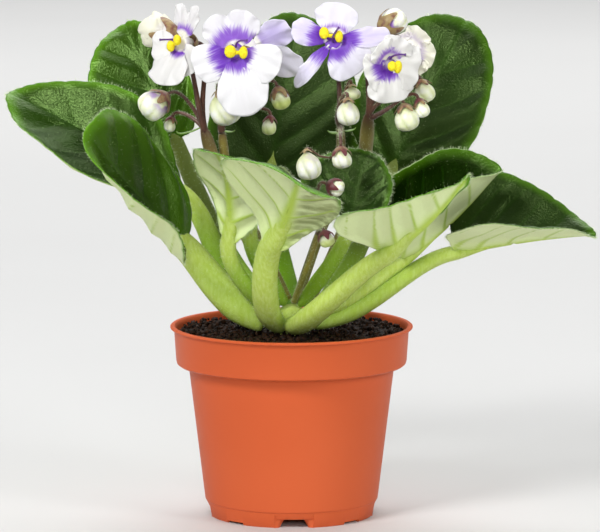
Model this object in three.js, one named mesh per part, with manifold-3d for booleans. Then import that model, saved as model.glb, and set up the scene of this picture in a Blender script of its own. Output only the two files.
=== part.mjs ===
// A potted African violet: a rosette of long-stalked hairy leaves round a short crown, four flower
// stalks with open blooms and nodding buds, peat, and the moulded plastic nursery pot that holds it all.
// Millimetres, +Z up. The origin is under the middle of the pot, on the surface it stands on.
// A leaf or petal is a thin blade: x runs from its base to its tip, y to its right, h off its upper face.
import * as THREE from "three";
import { mergeVertices } from "three/addons/utils/BufferGeometryUtils.js";
import Module from "manifold-3d";

const wasm = await Module();
wasm.setup();

// Driving dimensions
const potHeight = 70; // up to the flat of the rim
const rimRadius = 45; // outside of the lip
const lipThickness = 0.9;
const bandTopRadius = 43.6; // the band under the lip
const bandFootRadius = 42.7;
const bandFootHeight = 56.4;
const bodyTopRadius = 38.1; // the tapered wall
const bodyFootRadius = 32.1;
const footTopRadius = 31.7; // the foot ring draws in under a fine ledge
const footRadius = 30.6;
const footStep = 6; // height of the ledge over the foot ring
const wall = 1.1;
const floorHeight = 3; // underside of the raised floor
const padRadius = 12; // the middle of the floor comes down to the ground
const wideNotch = { outer: 14, inner: 8, height: 3.3 }; // lets water out, between slanting cheeks
const narrowNotch = { outer: 8, inner: 8, height: 0.9 };
const notchTurn = 2; // degrees, the first notch from the front
const drainRadius = 3;
const drainCircle = 20;
const soilTop = 68.1;
const soilRoughness = 0.4;
const gap = 0.3; // between pieces that touch
const crownRadius = 6.5;
const crownTop = 79;
const leafThickness = 0.9;
const petalThickness = 0.7;
const pedicelRadius = 0.7;

const radians = THREE.MathUtils.degToRad;
const vec = (p) => new THREE.Vector3(...p);
const material = (color, roughness) => new THREE.MeshStandardMaterial({ color, roughness, metalness: 0 });

// Solids

function solidOf(vertices, triangles) {
  return new wasm.Manifold(
    new wasm.Mesh({
      numProp: 3,
      vertProperties: new Float32Array(vertices.flat()),
      triVerts: new Uint32Array(triangles.flat()),
    }),
  );
}

function solidOfGeometry(geometry) {
  geometry.deleteAttribute("normal");
  geometry.deleteAttribute("uv");
  const merged = mergeVertices(geometry, 1e-4);
  return new wasm.Manifold(
    new wasm.Mesh({
      numProp: 3,
      vertProperties: new Float32Array(merged.attributes.position.array),
      triVerts: new Uint32Array(merged.index.array),
    }),
  );
}

const join = (solids) => solids.reduce((a, b) => a.add(b));
const cut = (solid, tools) => tools.reduce((a, b) => a.subtract(b), solid);
const largest = (solid) => solid.decompose().reduce((a, b) => (b.volume() > a.volume() ? b : a));

function meshOf(name, solid, look) {
  const { numProp, vertProperties, triVerts } = solid.getMesh();
  const positions = new Float32Array((vertProperties.length / numProp) * 3);
  for (let i = 0; i < positions.length / 3; i++)
    positions.set(vertProperties.subarray(i * numProp, i * numProp + 3), i * 3);
  const geometry = new THREE.BufferGeometry();
  geometry.setAttribute("position", new THREE.BufferAttribute(positions, 3));
  geometry.setIndex(new THREE.BufferAttribute(new Uint32Array(triVerts), 1));
  geometry.computeVertexNormals();
  const mesh = new THREE.Mesh(geometry, look);
  mesh.name = name;
  return mesh;
}

// A closed skin over rings of points, with a single point at each end.
function skin(startPoint, rings, endPoint) {
  const count = rings[0].length;
  const vertices = [startPoint, ...rings.flat(), endPoint];
  const last = vertices.length - 1;
  const at = (ring, i) => 1 + ring * count + (i % count);
  const triangles = [];
  for (let i = 0; i < count; i++) {
    triangles.push([0, at(0, i + 1), at(0, i)]);
    triangles.push([last, at(rings.length - 1, i), at(rings.length - 1, i + 1)]);
    for (let ring = 0; ring + 1 < rings.length; ring++) {
      const [a, b, c, d] = [at(ring, i), at(ring, i + 1), at(ring + 1, i), at(ring + 1, i + 1)];
      triangles.push([a, b, d], [a, d, c]);
    }
  }
  return solidOf(vertices, triangles);
}

// A stalk along stations { at, wide, high }: elliptic, its width along `side` where it isn't round.
function stalk(stations, side, sides) {
  const rings = stations.map(({ at, wide, high }, i) => {
    const before = stations[Math.max(i - 1, 0)].at;
    const after = stations[Math.min(i + 1, stations.length - 1)].at;
    const tangent = after.clone().sub(before).normalize();
    const across = side.clone().addScaledVector(tangent, -side.dot(tangent)).normalize();
    const up = new THREE.Vector3().crossVectors(tangent, across);
    return Array.from({ length: sides }, (_, k) => {
      const turn = (2 * Math.PI * k) / sides;
      return at
        .clone()
        .addScaledVector(across, wide * Math.cos(turn))
        .addScaledVector(up, high * Math.sin(turn))
        .toArray();
    });
  });
  return skin(stations[0].at.toArray(), rings, stations.at(-1).at.toArray());
}

// Blades

const bladeDefaults = {
  bend: 0, fold: [0, 0], curl: [0, 0], egg: 0.15, lobe: 3, point: 0, wedge: 0, rim: 0, wave: 0,
  scallop: 0, foot: 0.6,
};

// The midrib is an arc that turns through `bend` degrees; face is the way the upper side looks.
function bladeFrame({ base, tip, face, bend }) {
  const along = vec(tip).sub(vec(base));
  const chord = along.length();
  along.normalize();
  const normal = vec(face);
  normal.addScaledVector(along, -normal.dot(along)).normalize();
  const side = new THREE.Vector3().crossVectors(along, normal);
  const turn = radians(bend || 0.1);
  const radius = chord / (2 * Math.sin(turn / 2));
  return { base: vec(base), along, normal, side, turn, radius, length: radius * turn };
}

// Each half folds up from the midrib by `fold` degrees and curls by `curl` more out to its margin.
function bladePoint(frame, blade, x, y, h) {
  const { base, along, normal, side, turn, radius, length } = frame;
  const lean = turn * (0.5 - x / length);
  const run = radius * (Math.sin(turn / 2) - Math.sin(lean));
  const rise = radius * (Math.cos(lean) - Math.cos(turn / 2));
  const half = y > 0 ? 1 : 0;
  const fold = radians(blade.fold[half]);
  const curl = radians(blade.curl[half] || 0.1) / blade.half[half];
  const angle = fold + curl * Math.abs(y);
  const across = Math.sign(y) * ((Math.sin(angle) - Math.sin(fold)) / curl - h * Math.sin(angle));
  const lift = (Math.cos(fold) - Math.cos(angle)) / curl + h * Math.cos(angle);
  return base
    .clone()
    .addScaledVector(along, run - lift * Math.sin(lean))
    .addScaledVector(normal, rise + lift * Math.cos(lean))
    .addScaledVector(side, across);
}

// Outline at angle t: the tip at 0, and at PI the notch where the stalk joins between two lobes.
function bladeOutline(blade, length, t) {
  const { half, egg, lobe, point, wedge } = blade;
  const width = half[Math.sin(t) > 0 ? 1 : 0];
  const back = Math.PI - Math.abs(t);
  const notch = lobe * Math.exp(-((back / 0.42) ** 2));
  const x = (length - lobe) / 2 + ((length + lobe) / 2) * Math.cos(t) + notch;
  const ends = 1 - point * Math.exp(-((t / 0.6) ** 2)) - wedge * Math.exp(-((back / 0.9) ** 2));
  const y = width * Math.sin(t) * (1 - egg * Math.cos(t)) * ends;
  return [x, y];
}

// Rings of points shrink from the outline to a middle on the midrib; both faces are split alike.
function bladeSolid(blade, { thickness, points, rings }) {
  const frame = bladeFrame(blade);
  const middle = 0.42 * frame.length;
  const ringAt = (reach, h) =>
    Array.from({ length: points }, (_, i) => {
      const t = (2 * Math.PI * i) / points - (i > points / 2 ? 2 * Math.PI : 0);
      const [x, y] = bladeOutline(blade, frame.length, t);
      const radius = Math.hypot(x - middle, y);
      const scale = reach * (1 - (reach * blade.scallop * (i % 2)) / radius);
      const drop = blade.rim * Math.max(0, (reach - 0.8) / 0.2) ** 2;
      const ripple = blade.wave * reach ** 3 * Math.sin(6 * t + blade.base[0]);
      const lift = h - drop + ripple;
      return bladePoint(frame, blade, middle + scale * (x - middle), scale * y, lift).toArray();
    });
  const half = thickness / 2;
  const top = bladePoint(frame, blade, middle, 0, half).toArray();
  const bottom = bladePoint(frame, blade, middle, 0, -half).toArray();
  const upper = rings.map((r) => ringAt(r, half));
  const lower = rings.toReversed().map((r) => ringAt(r, -half));
  return skin(top, [...upper, ...lower], bottom);
}

// Leaves

// root is where the stalk leaves the crown and start its direction there; stalk is its half width.
const leaves = {
  leaf_front: {
    base: [-5.5, -33.5, 106.5], tip: [2.5, -83.5, 136], face: [1.1, 0.9, 0.9], half: [14, 25],
    fold: [15, -6.5], curl: [34, -16], bend: 19, egg: -0.68, lobe: 1.8, wedge: 0.22, rim: 2.6,
    root: [-5, -7, 73], start: [-0.35, -0.9, 0.1], stalk: 5.7, foot: 0.85,
  },
  leaf_front_right: {
    base: [33, -37, 104.5], tip: [63, -60, 135], face: [-0.38, 0.34, 0.96], half: [9, 22.5],
    fold: [11, 21], curl: [25, 6], bend: -28, egg: 0.9, lobe: 4.5, wedge: -0.2, rim: 1.5,
    root: [1, -10.5, 72.6], start: [0.15, -0.95, 0.02], stalk: 5.8, foot: 0.8,
  },
  leaf_left_front: {
    base: [-38, -3, 101.2], tip: [-73, -50, 149], face: [0.6, -0.9, 0.27], half: [30, 26],
    fold: [18.5, 2.5], curl: [94, -28], bend: -26, egg: 0.13, lobe: 1.5, wedge: 0.25, rim: 1,
    root: [-9, -5, 73.2], start: [-0.99, -0.1, 0.3], stalk: 6.4, foot: 0.75,
  },
  leaf_right: {
    base: [59.5, -10.5, 101], tip: [112, -14, 106.5], face: [0.1, -0.27, 1.2], half: [25, 24],
    fold: [38, 34], curl: [23, 0], bend: 10, egg: 0.54, lobe: 4.3, point: 0.3, wedge: -0.58, rim: 1,
    root: [7, -5, 72.2], start: [0.95, -0.25, 0.12], stalk: 4.6, foot: 0.75,
  },
  leaf_right_front: {
    base: [41, -10, 98], tip: [76.5, -21.5, 132], face: [-0.54, -0.54, 0.84], half: [26, 21],
    fold: [40, 43], curl: [62, 45], bend: -17.5, egg: 0, lobe: 2.9, wedge: -0.6, rim: 1,
    root: [6, -4, 75], start: [0.85, -0.4, 0.3], stalk: 4,
  },
  leaf_left: {
    base: [-41, 13, 119.5], tip: [-106.5, 31.5, 154], face: [0.35, -1.4, 0.72], half: [26, 21],
    fold: [6, 13], curl: [54, 23], bend: 23, egg: 0.52, lobe: -6, wedge: 0.53, rim: 1.2,
    root: [-7, 1, 73], start: [-0.95, 0.1, 0.25], stalk: 4.4,
  },
  leaf_front_left: {
    base: [-22, -17, 104.5], tip: [-27.5, -52, 142.5], face: [0.5, 0.45, 0.73], half: [19.5, 11],
    fold: [-3, 1], curl: [29, -6.5], bend: 42, egg: -0.62, lobe: 1.9, wedge: 0.3, rim: 1.5,
    root: [-6, -6, 76], start: [-0.65, -0.5, 0.6], stalk: 4,
  },
  leaf_back_left: {
    base: [-44, 34, 136], tip: [-63.5, 52, 179], face: [-0.1, -1, 0.3], half: [24, 15],
    fold: [6, 10], curl: [16, 25], bend: 22, rim: 1, root: [-5, 5, 73.5], start: [-0.6, 0.7, 0.4],
    stalk: 3.8,
  },
  leaf_back_right: {
    base: [37.5, 26, 126.5], tip: [66, 44, 181], face: [0, -1, 0.3], half: [26, 24], fold: [8, 8],
    curl: [18, 18], bend: 22, rim: 1, root: [5.5, 4, 73.5], start: [0.7, 0.6, 0.4], stalk: 3.8,
  },
  leaf_back: {
    base: [-8, 37, 124.5], tip: [2.5, 51, 183], face: [0, -1, 0.3], half: [26, 31], fold: [10, 4],
    curl: [20, 6], bend: 22, egg: 0.3, lobe: 7, rim: 1, root: [0, 6.5, 73.5], start: [0, 0.9, 0.4],
    stalk: 4,
  },
  leaf_inner_front: {
    base: [-15, -12, 111.5], tip: [-7, -30, 134], face: [0, 0.6, 0.8], half: [13, 13],
    fold: [14, 14], curl: [20, 20], bend: 10, rim: 0.8, root: [-2.5, -4, 79],
    start: [-0.45, -0.4, 0.8], stalk: 3.4,
  },
  leaf_inner_right: {
    base: [22, -17.5, 113.9], tip: [27, -9.5, 137.4], face: [-0.1, -0.9, 0.5], half: [18, 14],
    fold: [8, 8], curl: [16, 20], bend: 15, lobe: 5, rim: 0.8, root: [3, -4, 78.5],
    start: [0.55, -0.3, 0.8], stalk: 3,
  },
};

// The stalk narrows to the crown and runs on under the blade as its midrib, thinning to the tip.
function leafStalk(blade, grow) {
  const frame = bladeFrame(blade);
  const root = vec(blade.root);
  const high = (wide) => 0.72 * wide;
  const sink = high(0.8 * blade.stalk) - 0.2;
  const end = bladePoint(frame, blade, 0, 0, -sink);
  const reach = end.distanceTo(root);
  const into = frame.along.clone().multiplyScalar(Math.cos(frame.turn / 2));
  into.addScaledVector(frame.normal, Math.sin(frame.turn / 2));
  const path = new THREE.CubicBezierCurve3(
    root,
    root.clone().addScaledVector(vec(blade.start).normalize(), 0.4 * reach),
    end.clone().addScaledVector(into, -0.3 * reach),
    end,
  );
  const free = [0, 0.12, 0.3, 0.52, 0.76, 1].map((s) => {
    const swelling = (1 - blade.foot) * Math.min(1, s / 0.25);
    const thinning = 0.2 * Math.max(0, (s - 0.25) / 0.75);
    const wide = blade.stalk * (blade.foot + swelling - thinning);
    return { at: path.getPoint(s), wide: wide + grow, high: high(wide) + grow };
  });
  const under = [0.3, 0.86].map((s) => {
    const wide = 0.8 * blade.stalk * (1 - s) + 0.7 * s;
    return {
      at: bladePoint(frame, blade, s * frame.length, 0, -(high(wide) - 0.2)),
      wide: wide + grow,
      high: high(wide) + grow,
    };
  });
  return { tube: stalk([...free, ...under], frame.side, 6), free: stalk(free, frame.side, 6) };
}

const withDefaults = (blade) => ({ ...bladeDefaults, ...blade });
const leafDetail = { thickness: leafThickness, points: 26, rings: [0.5, 0.82, 1] };
const leafSolid = (blade) => bladeSolid({ ...blade, wave: 0.7, scallop: 0.7 }, leafDetail);

// Flowers

// A bloom looks along `axis` with `up` upwards. A petal is [angle from its right, length, half
// width, lift off the bloom's plane, bend], and `scale` sizes them all.
const fullPetals = [
  [76, 13.5, 6.4, 12, -10],
  [129, 14, 5.8, 10, -10],
  [202, 15.5, 6.8, 7, 12],
  [280, 21.5, 9.7, 4, 16],
  [337, 15.5, 7.2, 7, 12],
];
const cuppedPetals = fullPetals.map(([angle, length, half]) => {
  return [angle, 0.55 * length, 0.9 * half, 60, 50];
});
const blooms = [
  {
    centre: [-40, -15, 177.2], axis: [-0.76, -0.62, 0.05], up: [0, 0.2, 1], scale: 0.9,
    petals: [
      [50, 15.4, 3.8, 0, -8],
      [86, 14, 4.4, 2, -8],
      [188, 13, 7, 22, 25],
      [250, 17.5, 10.5, 25, 20],
      [302, 12.5, 7.5, 5, 15],
    ],
  },
  { centre: [-20, -28, 175.3], axis: [0.05, -1, 0.08], up: [0, 0, 1], scale: 1, petals: fullPetals },
  {
    centre: [-15.6, -8.6, 175.6], axis: [0.25, 0.9, 0.3], up: [0, 0, 1], scale: 0.9,
    petals: [
      [85, 9.5, 6, 6, 10],
      [156, 18.5, 6, 2, 10],
      [207, 22, 6.6, 0, 15],
      [278, 13, 7, 4, 10],
      [335, 11, 6, 6, 10],
    ],
  },
  {
    centre: [15.2, -16, 178], axis: [-0.1, -0.9, 0.35], up: [0, 0.2, 1], scale: 1,
    petals: [
      [82, 12.5, 8, 10, -8],
      [165, 14.5, 4.8, 14, 20],
      [229, 19.5, 3, -10, 20],
      [307, 13.5, 8.6, -6, 15],
      [6, 19.5, 3.8, -2, 10],
    ],
  },
  {
    centre: [35, -28, 171], axis: [0.48, -0.88, -0.06], up: [0.1, 0, 1], scale: 0.85,
    petals: [
      [70, 10.7, 7.5, 15, 30],
      [132, 9.5, 7, 22, 40],
      [208, 10.5, 8.5, 8, 15],
      [280, 15, 11, 4, 15],
      [352, 13.4, 9.5, 8, 10],
    ],
  },
  {
    centre: [42.8, -9, 174], axis: [0.4, 0.85, 0.2], up: [0, 0, 1], scale: 0.62,
    petals: [
      [62, 8, 7, 5, 10],
      [128, 13, 8.5, 5, 10],
      [192, 14, 8.5, 5, 10],
      [252, 14, 8.5, 5, 10],
      [318, 11, 8, 5, 10],
    ],
  },
  {
    centre: [-46, -2, 179], axis: [-0.6, 0.75, 0.2], up: [0, 0, 1], scale: 1,
    petals: cuppedPetals,
  },
];
const throatRadius = 3.2;
const throatDepth = 4.6;

function bloomFrame({ centre, axis, up }) {
  const face = vec(axis).normalize();
  const right = new THREE.Vector3().crossVectors(vec(up), face).normalize();
  const top = new THREE.Vector3().crossVectors(face, right);
  const place = (x, y, z) =>
    vec(centre).addScaledVector(right, x).addScaledVector(top, y).addScaledVector(face, z);
  return { face, right, top, place };
}

function corolla(bloom) {
  const { right, place } = bloomFrame(bloom);
  const petals = bloom.petals.map(([angle, length, half, lift, bend]) => {
    const [c, s] = [Math.cos(radians(angle)), Math.sin(radians(angle))];
    const [flat, rise] = [Math.cos(radians(lift)), Math.sin(radians(lift))];
    const start = 0.6 * throatRadius;
    const reach = start + length * bloom.scale * flat;
    const width = half * bloom.scale;
    const facing = place(-c * rise, -s * rise, flat).sub(vec(bloom.centre));
    return bladeSolid(
      {
        ...bladeDefaults, base: place(c * start, s * start, 0).toArray(), face: facing.toArray(), bend,
        tip: place(c * reach, s * reach, length * bloom.scale * rise).toArray(),
        half: [width, width], fold: [4, 4], curl: [-14, -14], egg: -0.28, lobe: 0, wave: 0.4,
      },
      { thickness: petalThickness, points: 10, rings: [1] },
    );
  });
  const tube = stalk(
    [[0.4, throatRadius], [-0.8, throatRadius], [-throatDepth, 1.5]].map(([z, r]) => {
      return { at: place(0, 0, z), wide: r, high: r };
    }),
    right,
    8,
  );
  return join([tube, ...petals]);
}

// Two yellow pollen sacs side by side in the mouth of the throat, joined by a short bridge.
function anthers(bloom) {
  const { top, place } = bloomFrame(bloom);
  const sac = (x) => {
    const rows = [[-0.7, 1.5], [0.8, 1.7]];
    const rings = rows.map(([z, r]) =>
      Array.from({ length: 6 }, (_, k) => {
        const turn = (Math.PI * k) / 3;
        return place(x + r * 0.85 * Math.cos(turn), r * 1.25 * Math.sin(turn), 2.4 + z).toArray();
      }),
    );
    return skin(place(x, 0, 1.2).toArray(), rings, place(x, 0, 3.9).toArray());
  };
  const bridge = [-2, 2].map((x) => ({ at: place(x, -0.2, 2.2), wide: 0.8, high: 0.8 }));
  return join([sac(-2.2), sac(2.2), stalk(bridge, top, 4)]);
}

// The purple style leans out between the pollen sacs.
function style(bloom) {
  const { face, place } = bloomFrame(bloom);
  const points = [[0, 1.6, 1], [0.1, 2.9, 2.6], [1.4, 3.9, 4.4], [4, 4, 5.2]];
  return stalk(points.map(([x, y, z]) => ({ at: place(x, y, z), wide: 0.42, high: 0.42 })), face, 5);
}

// A bud hangs from `top` along `axis`: a cone under its calyx, then a round body.
const buds = {
  bud_01: { top: [32.6, -1, 181], axis: [0.8, 0.35, 0.4], radius: 4.8, length: 11, stalk: "right" },
  bud_02: { top: [-46.5, -11, 158], axis: [-0.5, 0, -0.85], radius: 5.4, length: 11.5, stalk: "left" },
  bud_03: { top: [-44, -7, 148.5], axis: [-0.3, -0.1, -1], radius: 2.2, length: 5, stalk: "left" },
  bud_04: { top: [-26, -21, 160.2], axis: [0.25, 0, -1], radius: 5.9, length: 13, stalk: "left_inner" },
  bud_05: {
    top: [-5, -15, 160.5], axis: [0.25, -0.1, -1], radius: 3.5, length: 8, stalk: "left_inner",
  },
  bud_06: {
    top: [-7.8, -15, 149.8], axis: [-0.1, -0.1, -1], radius: 2.7, length: 6.5, stalk: "left_inner",
  },
  bud_07: { top: [22, -13, 161], axis: [0.1, 0, -1], radius: 3.2, length: 5, stalk: "middle" },
  bud_08: {
    top: [20.5, -21, 157], axis: [0, -0.1, -1], radius: 4.3, length: 9.5, stalk: "middle",
    lean: [-0.5, -0.8, 0.5],
  },
  bud_09: {
    top: [5.5, -38, 140], axis: [0.15, -0.2, -1], radius: 4.7, length: 10.5, stalk: "middle",
    lean: [-0.5, -0.8, -0.2],
  },
  bud_10: {
    top: [18, -28, 140], axis: [0.05, -0.1, -1], radius: 3.7, length: 7.5, stalk: "middle",
    lean: [0, -1, -0.4],
  },
  bud_11: { top: [47.5, -10, 162.5], axis: [0.3, -0.1, -0.95], radius: 3.9, length: 8, stalk: "right" },
  bud_12: { top: [41, -22, 155], axis: [0.2, -0.1, -1], radius: 4.6, length: 9.5, stalk: "right" },
  bud_13: {
    top: [46.5, -19, 156.5], axis: [0.3, -0.1, -0.9], radius: 2.8, length: 6.5, stalk: "right",
    lean: [0.8, -0.6, 0.2],
  },
  bud_14: { top: [13.5, -34, 127.5], axis: [0.9, -0.1, -0.4], radius: 3.1, length: 6, stalk: "young" },
  bud_15: { top: [12, -26, 108.8], axis: [0.3, -0.2, -1], radius: 2.9, length: 5.5, stalk: "young" },
};

const shoulder = 0.8; // radius of the cone's foot as a share of the bud's
const coneShare = 0.32; // and its height as a share of the bud's length

function budSolid({ top, axis, radius, length }) {
  const along = vec(axis).normalize();
  const side = Math.abs(along.z) > 0.9 ? vec([1, 0, 0]) : vec([0, 0, 1]);
  const rows = [[coneShare, shoulder], [0.56, 1], [0.86, 0.68]];
  const stations = rows.map(([s, r]) => {
    return { at: vec(top).addScaledVector(along, s * length), wide: r * radius, high: r * radius };
  });
  const across = side.clone().addScaledVector(along, -side.dot(along)).normalize();
  const up = new THREE.Vector3().crossVectors(along, across);
  const rings = stations.map(({ at, wide }) =>
    Array.from({ length: 8 }, (_, k) => {
      const turn = (Math.PI * k) / 4;
      return at
        .clone()
        .addScaledVector(across, wide * Math.cos(turn))
        .addScaledVector(up, wide * Math.sin(turn))
        .toArray();
    }),
  );
  return skin(top, rings, vec(top).addScaledVector(along, length).toArray());
}

// Five sepals as one star-edged cap: tips down to `tipAt`, notches up at `notchAt`, round a cone of
// slope `spread` whose point is at `top`; the cap stands clear of it.
function calyx({ top, along, spread, tipAt, notchAt }) {
  const side = Math.abs(along.z) > 0.9 ? vec([1, 0, 0]) : vec([0, 0, 1]);
  const across = side.clone().addScaledVector(along, -side.dot(along)).normalize();
  const up = new THREE.Vector3().crossVectors(along, across);
  const ring = (shift) =>
    Array.from({ length: 10 }, (_, k) => {
      const depth = k % 2 ? notchAt : tipAt;
      const turn = (Math.PI * k) / 5;
      return vec(top)
        .addScaledVector(along, depth + shift)
        .addScaledVector(across, spread * depth * Math.cos(turn))
        .addScaledVector(up, spread * depth * Math.sin(turn))
        .toArray();
    });
  const [outer, inner] = [-1.5, -0.65];
  return skin(
    vec(top).addScaledVector(along, outer).toArray(),
    [ring(outer), ring(inner)],
    vec(top).addScaledVector(along, inner).toArray(),
  );
}

function pedicel(from, rise, to, into) {
  const reach = from.distanceTo(to);
  const path = new THREE.CubicBezierCurve3(
    from,
    from.clone().addScaledVector(rise, 0.45 * reach),
    to.clone().addScaledVector(into, -0.4 * reach),
    to,
  );
  const stations = [0, 0.3, 0.65, 1].map((s) => {
    const r = pedicelRadius * (1.15 - 0.2 * s);
    return { at: path.getPoint(s), wide: r, high: r };
  });
  return stalk(stations, vec([1, 0.3, 0]), 4);
}

// Flower stalks rise from the crown; each is a list of points, with its half widths at both ends.
const flowerStalks = {
  left: {
    points: [[-6, -1, 77], [-15, -1, 100], [-25.5, -6, 124], [-32.5, -13, 147]], wide: [2, 2.5],
    blooms: [0, 6],
  },
  left_inner: {
    points: [[-1.5, 1, 80], [-11, 3, 100], [-22.5, -3, 124], [-26, -10, 147]], wide: [1.9, 1.7],
    blooms: [1, 2],
  },
  middle: {
    points: [[2, 1, 80], [9, 5, 100], [17.5, 4, 124], [18, -6.5, 149]], wide: [1.9, 1.7],
    blooms: [3],
  },
  right: {
    points: [[5.5, 0, 78], [16, 3, 98], [25.5, 4, 124], [28.5, -12, 152]], wide: [2.1, 2.7],
    blooms: [4, 5],
  },
  young: {
    points: [[1, -4, 80], [5, -14, 92], [9, -21, 105], [10.5, -24.5, 111]], wide: [1.3, 0.9],
    blooms: [],
  },
};
const slope = (bud) => (shoulder * bud.radius) / (coneShare * bud.length);

function flowerStalk(name, { points, wide, blooms: carried }) {
  const path = new THREE.CatmullRomCurve3(points.map(vec));
  const stations = [0, 0.25, 0.5, 0.75, 1].map((s) => {
    const r = wide[0] + (wide[1] - wide[0]) * s;
    return { at: path.getPointAt(s), wide: r, high: r * 0.85 };
  });
  const fork = vec(points.at(-1));
  const rise = path.getTangentAt(1);
  const parts = [stalk(stations, vec([1, 0, 0]), 7)];
  const start = fork.clone().addScaledVector(rise, -1);
  for (const index of carried) {
    const { face, place } = bloomFrame(blooms[index]);
    const end = place(0, 0, -throatDepth - 2.3);
    parts.push(pedicel(start, rise, end, face));
    const behind = place(0, 0, -throatDepth - 1.3).toArray();
    parts.push(calyx({ top: behind, along: face, spread: 1, tipAt: 3.4, notchAt: 1.8 }));
  }
  for (const bud of Object.values(buds).filter((b) => b.stalk === name)) {
    const along = vec(bud.axis).normalize();
    const lean = bud.lean ? vec(bud.lean).normalize() : rise;
    parts.push(pedicel(start, lean, vec(bud.top).addScaledVector(along, -0.9), along));
    parts.push(
      calyx({
        top: bud.top, along, spread: slope(bud), tipAt: coneShare * bud.length,
        notchAt: 0.12 * bud.length,
      }),
    );
  }
  return join(parts);
}

// Pot and soil

const potInside = [
  [0, floorHeight + 1.6],
  [bodyFootRadius - wall - 1, floorHeight + 1.6],
  [bodyFootRadius - wall, footStep + 1.5],
  [bodyTopRadius - wall, bandFootHeight - 0.6],
  [bandFootRadius - wall, bandFootHeight + 1.4],
  [bandTopRadius - wall, potHeight - 0.6],
  [bandTopRadius - 0.4, potHeight + lipThickness],
];

// A block between two upright faces [width at its foot, width at its top, foot, top, y], then turned.
function block(front, back, turn) {
  const corners = [front, back].flatMap(([foot, top, low, high, y]) => [
    [-foot / 2, y, low],
    [foot / 2, y, low],
    [top / 2, y, high],
    [-top / 2, y, high],
  ]);
  const sides = [
    [0, 1, 2, 3],
    [5, 4, 7, 6],
    [4, 5, 1, 0],
    [3, 2, 6, 7],
    [4, 0, 3, 7],
    [1, 5, 6, 2],
  ];
  const triangles = sides.flatMap(([a, b, c, d]) => [[a, b, c], [a, c, d]]);
  const axis = new THREE.Vector3(0, 0, 1);
  return solidOf(corners.map((c) => vec(c).applyAxisAngle(axis, turn).toArray()), triangles);
}

function potSolid() {
  const outside = [
    [rimRadius - 0.3, potHeight + lipThickness],
    [rimRadius, potHeight + 0.5],
    [rimRadius, potHeight],
    [bandTopRadius, potHeight - 0.5],
    [bandFootRadius, bandFootHeight + 0.9],
    [bandFootRadius - 0.9, bandFootHeight],
    [bodyTopRadius, bandFootHeight - 1.2],
    [bodyFootRadius, footStep],
    [footTopRadius, footStep - 0.5],
    [footRadius, 0],
    [footRadius - 1.5, 0],
    [footRadius - 2.2, floorHeight],
    [padRadius + 1.5, floorHeight],
    [padRadius, 0],
    [0, 0],
  ];
  const profile = [...potInside, ...outside].map(([r, z]) => new THREE.Vector2(r, z)).reverse();
  const body = solidOfGeometry(new THREE.LatheGeometry(profile, 32).rotateX(Math.PI / 2));
  const cheeks = [];
  const tools = [];
  for (let k = 0; k < 8; k++) {
    const turn = radians(notchTurn + 45 * k);
    const { outer, inner, height } = k % 2 ? narrowNotch : wideNotch;
    const [front, back] = [-footRadius - 2, -footRadius + 5];
    const splay = outer > inner ? 2 : 0; // the cheeks stand further apart at the ground
    const behind = [inner + splay, inner - splay, -1, height, back];
    tools.push(block([outer, outer, -1, height, front], behind, turn));
    if (!splay) continue;
    const cheek = [outer + 4, outer + 4, 0, floorHeight + 0.5];
    cheeks.push(block([...cheek, -footRadius + 1.2], [...cheek, back - 0.5], turn));
  }
  for (let k = 0; k < 6; k++) {
    const hole = new THREE.CylinderGeometry(drainRadius, drainRadius, 6, 10).rotateX(Math.PI / 2);
    hole.translate(drainCircle, 0, floorHeight + 1);
    tools.push(solidOfGeometry(hole.rotateZ(radians(60 * k + 15))));
  }
  return cut(join([body, ...cheeks]), tools);
}

// Peat fills the pot; its top is lumpy and sits a little below the rim.
function soilSolid() {
  const sectors = 24;
  const topRadius = bandTopRadius - wall - gap - 0.2;
  const lump = (x, y) =>
    soilRoughness * (Math.sin(0.31 * x + 1.3) * Math.cos(0.27 * y) + 0.6 * Math.sin(0.53 * x - 0.61 * y));
  const ring = (r, z) =>
    Array.from({ length: sectors }, (_, k) => {
      const turn = (-2 * Math.PI * k) / sectors;
      const [x, y] = [r * Math.cos(turn), r * Math.sin(turn)];
      return [x, y, z ?? soilTop + lump(x, y)];
    });
  const top = [0.35, 0.65, 0.88, 1].map((s) => ring(s * topRadius));
  const sides = potInside
    .slice(1, 5)
    .reverse()
    .map(([r, z]) => ring(r - gap - 0.2, z + gap));
  return skin([0, 0, soilTop + lump(0, 0)], [...top, ...sides], [0, 0, floorHeight + 1.6 + gap]);
}

function crownSolid(grow) {
  const profile = [[0, 57], [3, 58], [crownRadius, 67], [crownRadius, 73], [3.4, crownTop - 1],
    [0, crownTop]];
  const points = profile.map(([r, z], i) => {
    const up = i === 0 ? -grow : i === profile.length - 1 ? grow : 0;
    return new THREE.Vector2(r ? r + grow : 0, z + up);
  });
  return solidOfGeometry(new THREE.LatheGeometry(points, 12).rotateX(Math.PI / 2).translate(0, -1, 0));
}

// Assembly

const plastic = material(0xd0602f, 0.42);
const peat = material(0x2b1a12, 0.95);
const leafGreen = material(0x2f6a1c, 0.5);
const stemGreen = material(0x9fb84a, 0.55);
const stalkBrown = material(0x7a4a30, 0.6);
const petalWhite = material(0xf2eef4, 0.6);
const pollen = material(0xf5d400, 0.7);
const purple = material(0x4a1a78, 0.5);
const budCream = material(0xeef0cf, 0.6);

const violet = new THREE.Group();
const addNode = (name, solid, look) => violet.add(meshOf(name, solid, look));

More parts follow.
